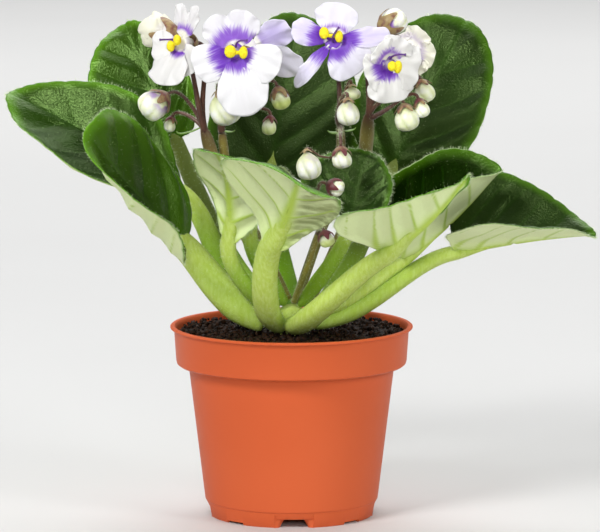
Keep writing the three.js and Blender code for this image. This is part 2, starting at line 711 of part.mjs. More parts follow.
const crown = crownSolid(0);
const rooted = [crownSolid(gap)]; // what each later stalk is cut clear of, near the crown
for (const [name, spec] of Object.entries(leaves)) {
  const blade = withDefaults(spec);
  const whole = join([leafSolid(blade), leafStalk(blade, 0).tube]);
  addNode(name, largest(cut(whole, rooted)), leafGreen);
  rooted.push(leafStalk(blade, gap).free);
}
for (const [name, spec] of Object.entries(flowerStalks))
  addNode("flower_stalk_" + name, largest(cut(flowerStalk(name, spec), rooted)), stalkBrown);
blooms.forEach((bloom, i) => {
  addNode("bloom_" + (i + 1), corolla(bloom), petalWhite);
  if (bloom.axis[1] > 0) return; // the ones turned away hold theirs out of sight
  addNode("anthers_" + (i + 1), anthers(bloom), pollen);
  addNode("style_" + (i + 1), style(bloom), purple);
});
for (const [name, bud] of Object.entries(buds)) addNode(name, budSolid(bud), budCream);
addNode("crown", crown, stemGreen);
addNode("soil", cut(soilSolid(), rooted), peat);
addNode("pot", potSolid(), plastic);

export default violet;
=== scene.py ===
import math

import bpy
import numpy as np
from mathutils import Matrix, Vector


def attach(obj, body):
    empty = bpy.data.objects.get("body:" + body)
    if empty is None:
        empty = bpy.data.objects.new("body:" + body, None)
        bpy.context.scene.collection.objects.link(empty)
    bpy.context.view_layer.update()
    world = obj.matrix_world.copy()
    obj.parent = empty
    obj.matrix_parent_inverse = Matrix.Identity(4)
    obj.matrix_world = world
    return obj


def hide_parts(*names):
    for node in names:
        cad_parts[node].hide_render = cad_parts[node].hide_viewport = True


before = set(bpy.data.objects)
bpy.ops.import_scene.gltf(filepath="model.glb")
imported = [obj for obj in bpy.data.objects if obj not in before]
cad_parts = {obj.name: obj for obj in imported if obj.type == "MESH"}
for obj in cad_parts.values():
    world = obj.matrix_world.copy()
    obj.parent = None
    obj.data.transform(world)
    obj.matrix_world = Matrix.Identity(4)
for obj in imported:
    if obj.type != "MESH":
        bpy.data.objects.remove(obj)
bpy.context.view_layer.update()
mm = 0.001  # pieces are worked out in millimetres and written in metres
rng = np.random.default_rng(7)
print("frame loaded")


def unit(v):  # vectors of length 1
    v = np.asarray(v, float)
    return v / np.linalg.norm(v, axis=-1, keepdims=True)


def smoothStep(low, high, x):  # 0 at low, 1 at high, level at both ends
    s = np.clip((x - low) / (high - low), 0, 1)
    return s * s * (3 - 2 * s)


def fullTurn(count):  # angles evenly round a circle
    return 2 * math.pi * np.arange(count) / count


# Cubic Bezier curve through its four control points, at each s from 0 to 1.
def bezier(points, s):
    a, b, c, d = (np.asarray(p, float) for p in points)
    s = s[:, None]
    return a * (1 - s) ** 3 + 3 * b * s * (1 - s) ** 2 + 3 * c * s**2 * (1 - s) + d * s**3


# Centripetal Catmull-Rom curve through all its points, sampled evenly by length.
def throughPoints(points, count):
    p = np.asarray(points, float)
    p = np.vstack([2 * p[0] - p[1], p, 2 * p[-1] - p[-2]])
    pieces = []
    for a, b, c, d in zip(p, p[1:], p[2:], p[3:]):
        k = [max(np.sum((v - u) ** 2) ** 0.25, 1e-4) for u, v in ((a, b), (b, c), (c, d))]
        m1 = ((b - a) / k[0] - (c - a) / (k[0] + k[1]) + (c - b) / k[1]) * k[1]
        m2 = ((c - b) / k[1] - (d - b) / (k[1] + k[2]) + (d - c) / k[2]) * k[1]
        s = np.linspace(0, 1, 41)[:, None]
        pieces.append(b + m1 * s + (3 * (c - b) - 2 * m1 - m2) * s**2 + (2 * (b - c) + m1 + m2) * s**3)
    line = np.vstack([pieces[0][:1]] + [piece[1:] for piece in pieces])
    walked = np.concatenate([[0], np.cumsum(np.linalg.norm(np.diff(line, axis=0), axis=1))])
    at = np.linspace(0, walked[-1], count)
    return np.stack([np.interp(at, walked, column) for column in line.T], axis=1)


# Turns a closed part's faces outwards, from the sign of its volume.
def outward(part):
    v, q, t = part["verts"], part["quads"], part["tris"]
    corners = np.vstack([t, q[:, [0, 1, 2]], q[:, [0, 2, 3]]])
    a, b, c = (v[corners[:, k]] for k in range(3))
    if np.einsum("ij,ij->i", a, np.cross(b, c)).sum() < 0:
        part["quads"], part["tris"] = q[:, ::-1], t[:, ::-1]
    return part


# Rings of points make one closed skin; the first and last rings shrink to a point each.
def ringSkin(rows, **fields):
    count, around = rows.shape[:2]
    verts = np.vstack([rows[0].mean(0), rows[1:-1].reshape(-1, 3), rows[-1].mean(0)])
    ring, i = np.meshgrid(np.arange(count - 3), np.arange(around), indexing="ij")
    j = (i + 1) % around
    low, high = ring * around, (ring + 1) * around
    quads = np.stack([low + i, low + j, high + j, high + i], -1).reshape(-1, 4) + 1
    i, last = np.arange(around), len(verts) - 1
    j = (i + 1) % around
    lastRing = last - around
    start = np.stack([0 * i, j + 1, i + 1], -1)
    end = np.stack([0 * i + last, lastRing + i, lastRing + j], -1)
    values = {}
    for key, value in fields.items():
        value = np.broadcast_to(np.asarray(value, float), rows.shape[:2])
        values[key] = np.concatenate([[value[0].mean()], value[1:-1].ravel(), [value[-1].mean()]])
    return outward({"verts": verts, "quads": quads, "tris": np.vstack([start, end]), "fields": values})


# Elliptic rings: `wide` times a turn's cosine along `across`, and `high` times its sine along `up`.
def ringsOn(path, across, up, wide, high, turn):
    return path + (wide * np.cos(turn))[..., None] * across + (high * np.sin(turn))[..., None] * up


# A stalk: elliptic rings along a path, closed flat at both ends.
def tube(path, wide, high, side, around=16, **fields):
    count = len(path)
    wide, high = (np.broadcast_to(size, count)[:, None] for size in (wide, high))
    tangent = unit(np.gradient(path, axis=0))
    across = unit(side - (tangent @ np.asarray(side, float))[:, None] * tangent)
    up = np.cross(tangent, across)
    rows = ringsOn(path[:, None], across[:, None], up[:, None], wide, high, fullTurn(around))
    rows = np.concatenate([np.repeat(path[:1, None], around, 1), rows, np.repeat(path[-1:, None], around, 1)])
    spread = {key: np.pad(np.broadcast_to(value, count), 1, "edge")[:, None] for key, value in fields.items()}
    return ringSkin(rows, **spread)


# Both faces of a blade as one run of rows: the upper out to the margin, the lower back in.
def bothFaces(upper, lower=None):
    return np.concatenate([upper, (upper if lower is None else lower)[::-1]])


# Corners and triangles as a skin of loose triangles.
def looseTriangles(verts, tris):
    verts, tris = verts.reshape(-1, 3), tris.reshape(-1, 3)
    return {"verts": verts, "quads": np.zeros((0, 4), int), "tris": tris, "fields": {}}


# Thin three-sided hairs from roots along directions, each a closed needle.
def needles(roots, directions, lengths, radius):
    directions = unit(directions)
    other = np.where(np.abs(directions[:, 2:]) < 0.8, [[0.0, 0.0, 1.0]], [[1.0, 0.0, 0.0]])
    across = unit(np.cross(directions, other))
    up = np.cross(directions, across)
    radius = np.broadcast_to(radius, len(roots))[:, None]
    feet = [roots + radius * (math.cos(a) * across + math.sin(a) * up) for a in (0, 2.1, 4.2)]
    tips = roots + directions * lengths[:, None]
    corners = np.array([[0, 1, 3], [1, 2, 3], [2, 0, 3], [0, 2, 1]])
    return looseTriangles(np.stack(feet + [tips], 1), 4 * np.arange(len(roots))[:, None, None] + corners)


# Joins parts into one piece, with their fields as attributes, and rides it on the body.
def addPiece(name, parts, material, nodes, smooth=True):
    shift, faces = 0, []
    for part in parts:
        faces += (part["quads"] + shift).tolist() + (part["tris"] + shift).tolist()
        shift += len(part["verts"])
    mesh = bpy.data.meshes.new(name)
    mesh.from_pydata((np.vstack([part["verts"] for part in parts]) * mm).tolist(), [], faces)
    for key in sorted({key for part in parts for key in part["fields"]}):
        column = [part["fields"].get(key, np.zeros(len(part["verts"]))) for part in parts]
        mesh.attributes.new(key, "FLOAT", "POINT").data.foreach_set("value", np.concatenate(column))
    mesh.polygons.foreach_set("use_smooth", np.full(len(mesh.polygons), smooth))
    mesh.materials.append(material)
    mesh.update()
    piece = bpy.data.objects.new(name, mesh)
    bpy.context.scene.collection.objects.link(piece)
    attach(piece, "root")
    if nodes:
        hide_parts(*nodes)
    return piece


def plug(socket, value):  # a link where the value is another node's socket, and a plain value otherwise
    if isinstance(value, bpy.types.NodeSocket):
        socket.id_data.links.new(value, socket)
    else:
        socket.default_value = (*value, 1) if socket.type == "RGBA" else value


def attributes(tree, names):  # one socket for each word in the names
    sockets = []
    for name in names.split():
        node = tree.nodes.new("ShaderNodeAttribute")
        node.attribute_name = name
        sockets.append(node.outputs["Fac"])
    return sockets


# Colour a where the mask is 0, b where it is 1.
def mixColour(tree, mask, a, b):
    node = tree.nodes.new("ShaderNodeMix")
    node.data_type = "RGBA"
    for place, value in ((0, mask), (6, a), (7, b)):
        plug(node.inputs[place], value)
    return node.outputs[2]


def layered(tree, colour, *layers):  # each layer is a mask and the colour that it lays over the rest
    for mask, over in layers:
        colour = mixColour(tree, mask, colour, over)
    return colour


# One operation on two values or sockets.
def maths(tree, operation, a, b):
    node = tree.nodes.new("ShaderNodeMath")
    node.operation = operation
    plug(node.inputs[0], a)
    plug(node.inputs[1], b)
    return node.outputs[0]


def times(tree, a, b):  # the product of two values or sockets
    return maths(tree, "MULTIPLY", a, b)


# A mask that goes smoothly from 0 to 1 as a value goes from `off` to `on`, whichever is greater.
def ramp(tree, value, off, on):
    node = tree.nodes.new("ShaderNodeMapRange")
    node.interpolation_type = "SMOOTHSTEP"
    for place, entry in enumerate((value, off, on)):
        plug(node.inputs[place], entry)
    return node.outputs[0]


def blend(tree, value, off, on, colours):  # from the first colour to the second as the mask rises
    return mixColour(tree, ramp(tree, value, off, on), *colours)


# A noise from 0 to 1 over the piece's own place, stretched if asked.
def noise(tree, scale, detail=2, stretch=None, place=None):
    place = place or tree.nodes.new("ShaderNodeTexCoord").outputs["Object"]
    if stretch:
        mapping = tree.nodes.new("ShaderNodeMapping")
        plug(mapping.inputs["Vector"], place)
        plug(mapping.inputs["Scale"], stretch)
        place = mapping.outputs["Vector"]
    node = tree.nodes.new("ShaderNodeTexNoise")
    for name, value in (("Vector", place), ("Scale", scale), ("Detail", detail)):
        plug(node.inputs[name], value)
    return node.outputs["Fac"]


# Pores and pebbles shared by all living skins: small cells and finer grain as a height, and soft blotches.
def livingSkinGroup():
    tree = bpy.data.node_groups.new("livingSkin", "ShaderNodeTree")
    for way, names in (("INPUT", ("Cells per Metre", "Grain per Metre")), ("OUTPUT", ("Height", "Blotch"))):
        for name in names:
            tree.interface.new_socket(name, in_out=way, socket_type="NodeSocketFloat")
    given = tree.nodes.new("NodeGroupInput").outputs
    result = tree.nodes.new("NodeGroupOutput").inputs
    cells = tree.nodes.new("ShaderNodeTexVoronoi")
    cells.feature = "SMOOTH_F1"
    plug(cells.inputs["Vector"], tree.nodes.new("ShaderNodeTexCoord").outputs["Object"])
    plug(cells.inputs["Scale"], given["Cells per Metre"])
    dome = maths(tree, "SUBTRACT", 1.0, cells.outputs["Distance"])
    grain = times(tree, noise(tree, given["Grain per Metre"]), 0.6)
    plug(result["Height"], maths(tree, "ADD", dome, grain))
    plug(result["Blotch"], noise(tree, 70))
    return tree


livingSkin = livingSkinGroup()


# The normal that a height in metres gives, at the look's own strength.
def bumped(tree, look, height):
    bump = tree.nodes.new("ShaderNodeBump")
    for name, value in zip(("Height", "Strength", "Distance"), (height, *look["bump"])):
        plug(bump.inputs[name], value)
    return bump.outputs["Normal"]


# A living skin's normal and blotches, at the look's own cells and grain.
def skinDetail(tree, look):
    group = tree.nodes.new("ShaderNodeGroup")
    group.node_tree = livingSkin
    plug(group.inputs["Cells per Metre"], look["pores"][0])
    plug(group.inputs["Grain per Metre"], look["pores"][1])
    return bumped(tree, look, group.outputs["Height"]), group.outputs["Blotch"]


# A material from its look: what its recipe links to the shader, and the plain values of its finish.
def newMaterial(name, recipe, look):
    material = bpy.data.materials.new(name)
    material.use_nodes = True
    tree = material.node_tree
    tree.nodes.clear()
    shader = tree.nodes.new("ShaderNodeBsdfPrincipled")
    output = tree.nodes.new("ShaderNodeOutputMaterial")
    tree.links.new(shader.outputs["BSDF"], output.inputs["Surface"])
    for socket, value in {**recipe(tree, look), **look["finish"]}.items():
        plug(shader.inputs[socket], value)
    return material


# Colours are linear. `pores` are cells and grains per metre; `bump` is its strength and height in metres.
# In the leaf's look, the lighter green laid over the upper face is painted light; the near black over it, the
# olive grey below, and the saturated green and olive-brown on the stalk are painted shade.
leafLook = {
    "pores": (1500, 4200), "bump": (0.4, 0.0004), "pale": (0.66, 0.75, 0.40), "paleVein": (0.36, 0.52, 0.07),
    "deep": (0.0018, 0.008, 0.0002), "fresh": (0.006, 0.026, 0.0004), "bright": (0.055, 0.145, 0.002),
    "dim": (0.002, 0.007, 0.0005), "groove": (0.04, 0.13, 0.008), "rim": (0.10, 0.27, 0.006),
    "heart": (0.45, 0.60, 0.09), "dusk": (0.20, 0.23, 0.085), "stalk": (0.50, 0.62, 0.16),
    "stalkDeep": (0.42, 0.54, 0.085), "shaded": (0.16, 0.34, 0.004), "dull": (0.085, 0.10, 0.03),
    "roughBelow": (0.6,) * 3, "roughAbove": (0.21,) * 3, "roughShade": (0.36,) * 3,
    "finish": {"Specular IOR Level": 0.55, "Specular Tint": (0.62, 1.0, 0.30)},
}


# Dark above with lighter grooves and rim, pale below with green veins, and streaked on the stalk. Painted
# light lies over the upper face, and painted shade over both faces and the stalk.
def leafRecipe(tree, look):
    normal, blotch = skinDetail(tree, look)
    upper, vein, rim, heart, stalk = attributes(tree, "upper vein rim heart stalk")
    bright, dim, dusk, shaded, dull = attributes(tree, "bright dim dusk shaded dull")
    # Over the upper face's blotches lie painted light, painted shade, the lighter grooves and the rim.
    dark = layered(
        tree, look["deep"], (ramp(tree, blotch, 0.35, 0.7), look["fresh"]), (bright, look["bright"]),
        (dim, look["dim"]), (times(tree, vein, 0.14), look["groove"]), (rim, look["rim"]),
    )
    # A streaked painted shadow over the left half of the lower face.
    dusk = times(tree, dusk, ramp(tree, noise(tree, 260, 3, (0.3, 1, 2.2)), 0.25, 0.65))
    pale = layered(
        tree, look["pale"], (dusk, look["dusk"]), (vein, look["paleVein"]), (heart, look["heart"]),
        (rim, look["rim"]),
    )
    streak = ramp(tree, noise(tree, 900, 3, (1, 1, 0.25)), 0.3, 0.7)
    # On the stalk, the saturated green and the olive-brown laid over its streaks are painted shade.
    stem = layered(
        tree, look["stalkDeep"], (streak, look["stalk"]), (shaded, look["shaded"]), (dull, look["dull"])
    )
    colour = layered(tree, pale, (upper, dark), (stalk, stem))
    # Rougher where the painted shade lies, which softens its gloss.
    rough = layered(tree, look["roughBelow"], (upper, look["roughAbove"]), (dim, look["roughShade"]))
    return {"Normal": normal, "Base Color": colour, "Roughness": rough}


hairLook = {
    "colours": ((0.42, 0.56, 0.24), (0.78, 0.86, 0.62)), "patches": 300, "finish": {"Roughness": 0.45},
}
styleLook = {
    "colours": ((0.05, 0.01, 0.16), (0.13, 0.03, 0.22)), "patches": 500, "finish": {"Roughness": 0.4},
}


def patchedRecipe(tree, look):  # two colours in soft patches
    return {"Base Color": mixColour(tree, noise(tree, look["patches"]), *look["colours"])}


flowerStalkLook = {
    "pores": (1500, 4000), "bump": (0.3, 0.0003), "olive": ((0.15, 0.13, 0.018), (0.29, 0.26, 0.035)),
    "russet": ((0.060, 0.018, 0.013), (0.14, 0.055, 0.030)), "bract": (0.13, 0.26, 0.02),
    "sepal": ((0.13, 0.014, 0.02), (0.34, 0.24, 0.09)), "finish": {"Roughness": 0.5, "Sheen Weight": 0.2},
}


# Olive to russet with `brown`, mottled on the sepals, whose `tone` shifts the mottle, and green bracts.
def flowerStalkRecipe(tree, look):
    normal, blotch = skinDetail(tree, look)
    sepal, brown, tone, green = attributes(tree, "sepal brown tone green")
    olive, russet = (blend(tree, blotch, 0.3, 0.7, look[key]) for key in ("olive", "russet"))
    mottle = maths(tree, "ADD", noise(tree, 420), times(tree, tone, 0.35))
    cup = blend(tree, mottle, 0.42, 0.85, look["sepal"])
    colour = layered(tree, olive, (brown, russet), (sepal, cup), (green, look["bract"]))
    return {"Normal": normal, "Base Color": colour}


# The halo and the eye fade out between the shares of a petal's `reach` given beside them, and the pale
# throat between distances from the middle.
petalLook = {
    "pores": (2600, 6000), "bump": (0.12, 0.0002), "white": (0.76, 0.75, 0.80), "lilac": (0.54, 0.45, 0.80),
    "cream": (0.80, 0.79, 0.53), "halo": (0.31, 0.14, 0.64), "haloEnds": (1.15, 0.75),
    "eye": (0.12, 0.012, 0.42), "eyeEnds": (1.16, 0.62), "throat": (0.88, 0.86, 0.80),
    "throatEnds": (3.9, 2.4), "feather": 0.62, "streaks": (2.2, 0.15, 1.0),
    "finish": {
        "Roughness": 0.55, "Sheen Weight": 0.1, "Subsurface Weight": 0.15, "Subsurface Radius": (0.002,) * 3,
    },
}


# Streaks that run out from the throat feather the edges of the halo, the eye and the pale throat.
def petalRecipe(tree, look):
    normal, _ = skinDetail(tree, look)
    reach, away, across, seed = attributes(tree, "reach away across seed")
    lilac, cream, back, rich = attributes(tree, "lilac cream back rich")
    place = tree.nodes.new("ShaderNodeCombineXYZ")
    for k, value in enumerate((across, away, seed)):
        plug(place.inputs[k], value)
    streaks = noise(tree, 1.1, 3, look["streaks"], place.outputs["Vector"])
    feather = times(tree, maths(tree, "SUBTRACT", streaks, 0.5), look["feather"])
    edge = maths(tree, "ADD", reach, feather)
    front = maths(tree, "SUBTRACT", 1.0, times(tree, back, 0.75))
    halo = times(tree, ramp(tree, edge, *look["haloEnds"]), front)
    eye = times(tree, ramp(tree, edge, *look["eyeEnds"]), times(tree, front, rich))
    plain = times(tree, maths(tree, "SUBTRACT", 1.0, rich), 3.0)
    inner = maths(tree, "SUBTRACT", maths(tree, "ADD", away, feather), plain)
    colour = layered(
        tree, look["white"], (lilac, look["lilac"]), (cream, look["cream"]), (halo, look["halo"]),
        (eye, look["eye"]), (ramp(tree, inner, *look["throatEnds"]), look["throat"]),
    )
    return {"Normal": normal, "Base Color": colour}


budLook = {
    "pores": (2400, 5000), "bump": (0.15, 0.0002), "cream": ((0.90, 0.93, 0.68), (0.97, 0.98, 0.90)),
    "crease": (0.55, 0.62, 0.25), "top": (0.55, 0.60, 0.22), "lime": (0.56, 0.66, 0.16),
    "flush": (0.33, 0.17, 0.52),
    "finish": {"Roughness": 0.5, "Subsurface Weight": 0.45, "Subsurface Radius": (0.004, 0.004, 0.003)},
}


# Cream, greener in the creases, at the top and where it is unripe, with a violet flush in patches.
def budRecipe(tree, look):
    normal, _ = skinDetail(tree, look)
    top, flush, crease, lime = attributes(tree, "top flush crease lime")
    patch = times(tree, flush, ramp(tree, noise(tree, 230, 1), 0.47, 0.62))
    colour = layered(
        tree, blend(tree, noise(tree, 330), 0.35, 0.65, look["cream"]), (crease, look["crease"]),
        (top, look["top"]), (lime, look["lime"]), (patch, look["flush"]),
    )
    return {"Normal": normal, "Base Color": colour}


pollenLook = {
    "pores": (3500, 9000), "bump": (0.5, 0.0003), "colours": ((0.86, 0.66, 0.003), (0.97, 0.86, 0.01)),
    "finish": {"Roughness": 0.7},
}


# Two yellows in soft patches over a grainy skin.
def pollenRecipe(tree, look):
    colour = blend(tree, noise(tree, 900), 0.3, 0.7, look["colours"])
    return {"Normal": skinDetail(tree, look)[0], "Base Color": colour}


peatLook = {
    "colours": ((0.0025, 0.0012, 0.0005), (0.032, 0.012, 0.004)), "bump": (0.9, 0.0008),
    "finish": {"Specular IOR Level": 0.12},
}


# Dark and paler crumbs, some of them damp.
def peatRecipe(tree, look):
    return {
        "Normal": bumped(tree, look, noise(tree, 1400, 6)),
        "Base Color": blend(tree, noise(tree, 900, 6), 0.38, 0.62, look["colours"]),
        "Roughness": ramp(tree, noise(tree, 600, 3), -0.4, 1.1),
    }


potLook = {
    "colours": ((0.57, 0.098, 0.029), (0.64, 0.122, 0.040)), "bump": (0.05, 0.0004), "rough": (0.38, 0.14),
    "finish": {"Specular IOR Level": 0.12},
}


# Clay colours in broad soft patches; finer patches vary how rough the plastic is.
def potRecipe(tree, look):
    least, more = look["rough"]
    return {
        "Normal": bumped(tree, look, noise(tree, 1500)),
        "Base Color": blend(tree, noise(tree, 9, 3), 0.3, 0.7, look["colours"]),
        "Roughness": maths(tree, "ADD", least, times(tree, noise(tree, 160, 4), more)),
    }


hairyLeaf = newMaterial("hairyLeaf", leafRecipe, leafLook)
silverHair = newMaterial("silverHair", patchedRecipe, hairLook)
stalkSkin = newMaterial("flowerStalkSkin", flowerStalkRecipe, flowerStalkLook)
petalVelvet = newMaterial("petalVelvet", petalRecipe, petalLook)
budSkin = newMaterial("budSkin", budRecipe, budLook)
pollen = newMaterial("pollen", pollenRecipe, pollenLook)
styleViolet = newMaterial("styleViolet", patchedRecipe, styleLook)
moistPeat = newMaterial("moistPeat", peatRecipe, peatLook)
potPlastic = newMaterial("terracottaPlastic", potRecipe, potLook)
print("materials made")


# A blade is set by its base, tip and the way its upper `face` looks. `half` holds its half widths, left
# and right of the midrib. `fold` and `curl` are in degrees, left and right, and `bend` arches the midrib.
# `egg` widens the base end, `lobe` is how far two lobes reach back past the stalk, and `point` and
# `wedge` narrow the tip and the base.
bladeUsual = {"bend": 0, "fold": (0, 0), "curl": (0, 0), "egg": 0.15, "lobe": 3, "point": 0, "wedge": 0}


# Adds a blade's midrib: an arc that turns through `bend` degrees from base to tip.
def onMidrib(blade):
    base, tip = np.array(blade["base"], float), np.array(blade["tip"], float)
    chord = np.linalg.norm(tip - base)
    along = (tip - base) / chord
    normal = unit(np.array(blade["face"], float) - along * np.dot(blade["face"], along))
    turn = math.radians(blade["bend"] or 0.1)
    radius = chord / (2 * math.sin(turn / 2))
    return {**blade, "base": base, "along": along, "normal": normal, "side": np.cross(along, normal),
            "turn": turn, "radius": radius, "length": radius * turn}


# A point x along the midrib, y to the right of it and h off the upper face: each half leaves the
# midrib at its fold angle and curls on towards its margin.
def bladePoints(blade, x, y, h):
    lean = blade["turn"] * (0.5 - x / blade["length"])
    run = blade["radius"] * (math.sin(blade["turn"] / 2) - np.sin(lean))
    rise = blade["radius"] * (np.cos(lean) - math.cos(blade["turn"] / 2))
    right = y > 0
    fold = np.radians(np.where(right, blade["fold"][1], blade["fold"][0]))
    curls = [math.radians(c or 0.1) / half for c, half in zip(blade["curl"], blade["half"])]
    curl = np.where(right, curls[1], curls[0])
    angle = fold + curl * np.abs(y)
    across = np.sign(y) * ((np.sin(angle) - np.sin(fold)) / curl - h * np.sin(angle))
    lift = (np.cos(fold) - np.cos(angle)) / curl + h * np.cos(angle)
    along = (run - lift * np.sin(lean))[..., None] * blade["along"]
    up = (rise + lift * np.cos(lean))[..., None] * blade["normal"]
    return blade["base"] + along + up + across[..., None] * blade["side"]


# Outline at angle t, from -pi to pi with the tip at 0: a stretched circle, with a notch between its lobes.
def bladeOutline(blade, t):
    half = np.where(np.sin(t) > 0, blade["half"][1], blade["half"][0])
    length, lobe, fromBase = blade["length"], blade["lobe"], math.pi - np.abs(t)
    x = (length - lobe) / 2 + (length + lobe) / 2 * np.cos(t) + lobe * np.exp(-((fromBase / 0.42) ** 2))
    ends = 1 - blade["point"] * np.exp(-((t / 0.6) ** 2)) - blade["wedge"] * np.exp(-((fromBase / 0.9) ** 2))
    return x, half * np.sin(t) * (1 - blade["egg"] * np.cos(t)) * ends


# Even angles round a blade's outline, from its tip at 0 to pi and on from -pi.
def outlineTurns(count):
    t = fullTurn(count)
    return np.where(t > math.pi + 1e-9, t - 2 * math.pi, t)[None]


# `rim` is how far the margin turns down, also as a pair, left and right. The stalk leaves the crown at
# `root` along `start`, `stalk` thick, and `foot` of that at the crown. The rest are shares of a colour:
# `dusk`, a painted shadow in the left half below, `shaded` and `dull`, painted shade on the
# stalk, `bright` and `dim`, painted light and painted shade above, and the green `glow` of
# the margin above, and `band` is the width of that glow below. `quilt` is the height of the quilting.
leafUsual = {
    "rim": 1, "foot": 0.6, "dusk": 0, "shaded": 0.7, "dull": 0, "bright": 0.07, "dim": 0.15, "glow": 0.4,
    "glowFrom": (0, 0.25), "band": 0.03, "quilt": 0.85,
}
leafTable = {
    "leaf_front": {
        "base": (-5.5, -33.5, 106.5), "tip": (2.5, -83.5, 136), "face": (1.1, 0.9, 0.9), "half": (14, 25),
        "fold": (15, -6.5), "curl": (34, -16), "bend": 19, "egg": -0.68, "lobe": 1.8, "wedge": 0.22,
        "rim": 2.6, "root": (-5, -7, 73), "start": (-0.35, -0.9, 0.1), "stalk": 5.7, "foot": 0.85,
        "dusk": 0.85, "shaded": 0, "glow": 1, "glowFrom": (0.55, 0.85), "band": 0.08, "quilt": 1.1,
    },
    "leaf_front_right": {
        "base": (33, -37, 104.5), "tip": (63, -60, 135), "face": (-0.38, 0.34, 0.96), "half": (9, 22.5),
        "fold": (11, 21), "curl": (25, 6), "bend": -28, "egg": 0.9, "lobe": 4.5, "wedge": -0.2,
        "rim": 1.5, "root": (1, -10.5, 72.6), "start": (0.15, -0.95, 0.02), "stalk": 5.8, "foot": 0.8,
        "shaded": 0, "glow": 1, "glowFrom": (0, 0.35), "band": 0.1, "quilt": 1.0,
    },
    "leaf_left_front": {
        "base": (-38, -3, 101.2), "tip": (-73, -50, 149), "face": (0.6, -0.9, 0.27), "half": (30, 26),
        "fold": (18.5, 2.5), "curl": (94, -28), "bend": -26, "egg": 0.13, "lobe": 1.5, "wedge": 0.25,
        "root": (-9, -5, 73.2), "start": (-0.99, -0.1, 0.3), "stalk": 6.4, "foot": 0.75, "shaded": 0.22,
        "bright": 1.0, "glow": 1, "quilt": 1.1,
    },
    "leaf_right": {
        "base": (59.5, -10.5, 101), "tip": (112, -14, 106.5), "face": (0.1, -0.27, 1.2), "half": (25, 24),
        "fold": (38, 34), "curl": (23, 0), "bend": 10, "egg": 0.54, "lobe": 4.3, "point": 0.3,
        "wedge": -0.58, "root": (7, -5, 72.2), "start": (0.95, -0.25, 0.12), "stalk": 4.6, "foot": 0.75,
        "shaded": 0.3, "dim": 0.75, "quilt": 0.4,
    },
    "leaf_right_front": {
        "base": (41, -10, 98), "tip": (76.5, -21.5, 132), "face": (-0.54, -0.54, 0.84), "half": (26, 21),
        "fold": (40, 43), "curl": (62, 45), "bend": -17.5, "egg": 0, "lobe": 2.9, "wedge": -0.6,
        "root": (6, -4, 75), "start": (0.85, -0.4, 0.3), "stalk": 4, "shaded": 0, "quilt": 0.4,
    },
    "leaf_left": {
        "base": (-41, 13, 119.5), "tip": (-106.5, 31.5, 154), "face": (0.35, -1.4, 0.72), "half": (26, 21),
        "fold": (6, 13), "curl": (54, 23), "bend": 23, "egg": 0.52, "lobe": -6, "wedge": 0.53,
        "rim": (-0.9, 1.2), "root": (-7, 1, 73), "start": (-0.95, 0.1, 0.25), "stalk": 4.4,
        "bright": 0.22, "glow": 0.7,
    },
    "leaf_front_left": {
        "base": (-22, -17, 104.5), "tip": (-27.5, -52, 142.5), "face": (0.5, 0.45, 0.73),
        "half": (19.5, 11), "fold": (-3, 1), "curl": (29, -6.5), "bend": 42, "egg": -0.62, "lobe": 1.9,
        "wedge": 0.3, "rim": 1.5, "root": (-6, -6, 76), "start": (-0.65, -0.5, 0.6), "stalk": 4,
        "shaded": 0.6, "glow": 1, "quilt": 1.1,
    },
    "leaf_back_left": {
        "base": (-44, 34, 136), "tip": (-63.5, 52, 179), "face": (-0.1, -1, 0.3), "half": (24, 15),
        "fold": (6, 10), "curl": (16, 25), "bend": 22, "root": (-5, 5, 73.5), "start": (-0.6, 0.7, 0.4),
        "stalk": 3.8, "bright": 0.6, "dull": 0.85, "glow": 0.7, "quilt": 1.1,
    },
    "leaf_back_right": {
        "base": (37.5, 26, 126.5), "tip": (66, 44, 181), "face": (0, -1, 0.3), "half": (26, 24),
        "fold": (8, 8), "curl": (18, 18), "bend": 22, "root": (5.5, 4, 73.5), "start": (0.7, 0.6, 0.4),
        "stalk": 3.8, "dull": 0.85, "dim": 0.45,
    },
    "leaf_back": {
        "base": (-8, 37, 124.5), "tip": (2.5, 51, 183), "face": (0, -1, 0.3), "half": (26, 31),
        "fold": (10, 4), "curl": (20, 6), "bend": 22, "egg": 0.3, "lobe": 9.5, "root": (0, 6.5, 73.5),
        "start": (0, 0.9, 0.4), "stalk": 4, "shaded": 1, "dull": 0.5, "dim": 0.9, "quilt": 0.4,
    },
    "leaf_inner_front": {
        "base": (-15, -12, 111.5), "tip": (-7, -30, 134), "face": (0, 0.6, 0.8), "half": (13, 18),
        "fold": (14, 14), "curl": (20, 20), "bend": 10, "rim": 0.8, "root": (-2.5, -4, 79),
        "start": (-0.45, -0.4, 0.8), "stalk": 3.4, "quilt": 0.5,
    },
    "leaf_inner_right": {
        "base": (22, -17.5, 113.9), "tip": (27, -9.5, 137.4), "face": (-0.1, -0.9, 0.5), "half": (20.5, 14),
        "fold": (8, 8), "curl": (16, 20), "bend": 15, "lobe": 5, "rim": 0.8, "root": (3, -4, 78.5),
        "start": (0.55, -0.3, 0.8), "stalk": 3, "dim": 0.7, "quilt": 0.25,
    },
}
leafShape = {
    "turns": 168, "rings": 40, "middle": 0.42, "thickness": 0.9, "edgeThickness": 0.4, "wave": 0.7,
    "veinFeet": (-0.8, -0.35, -0.02, 0.16, 0.38, 0.64, 0.95), "veinSlant": 0.70, "veinArch": 0.012,
    "ridge": 0.2, "groove": 0.25, "pebble": 0.08, "scallop": 0.45, "scallops": 30,
    "stalkRings": 44, "midribRings": 30, "stalkFlat": 0.72, "midribFlat": 0.32,
}


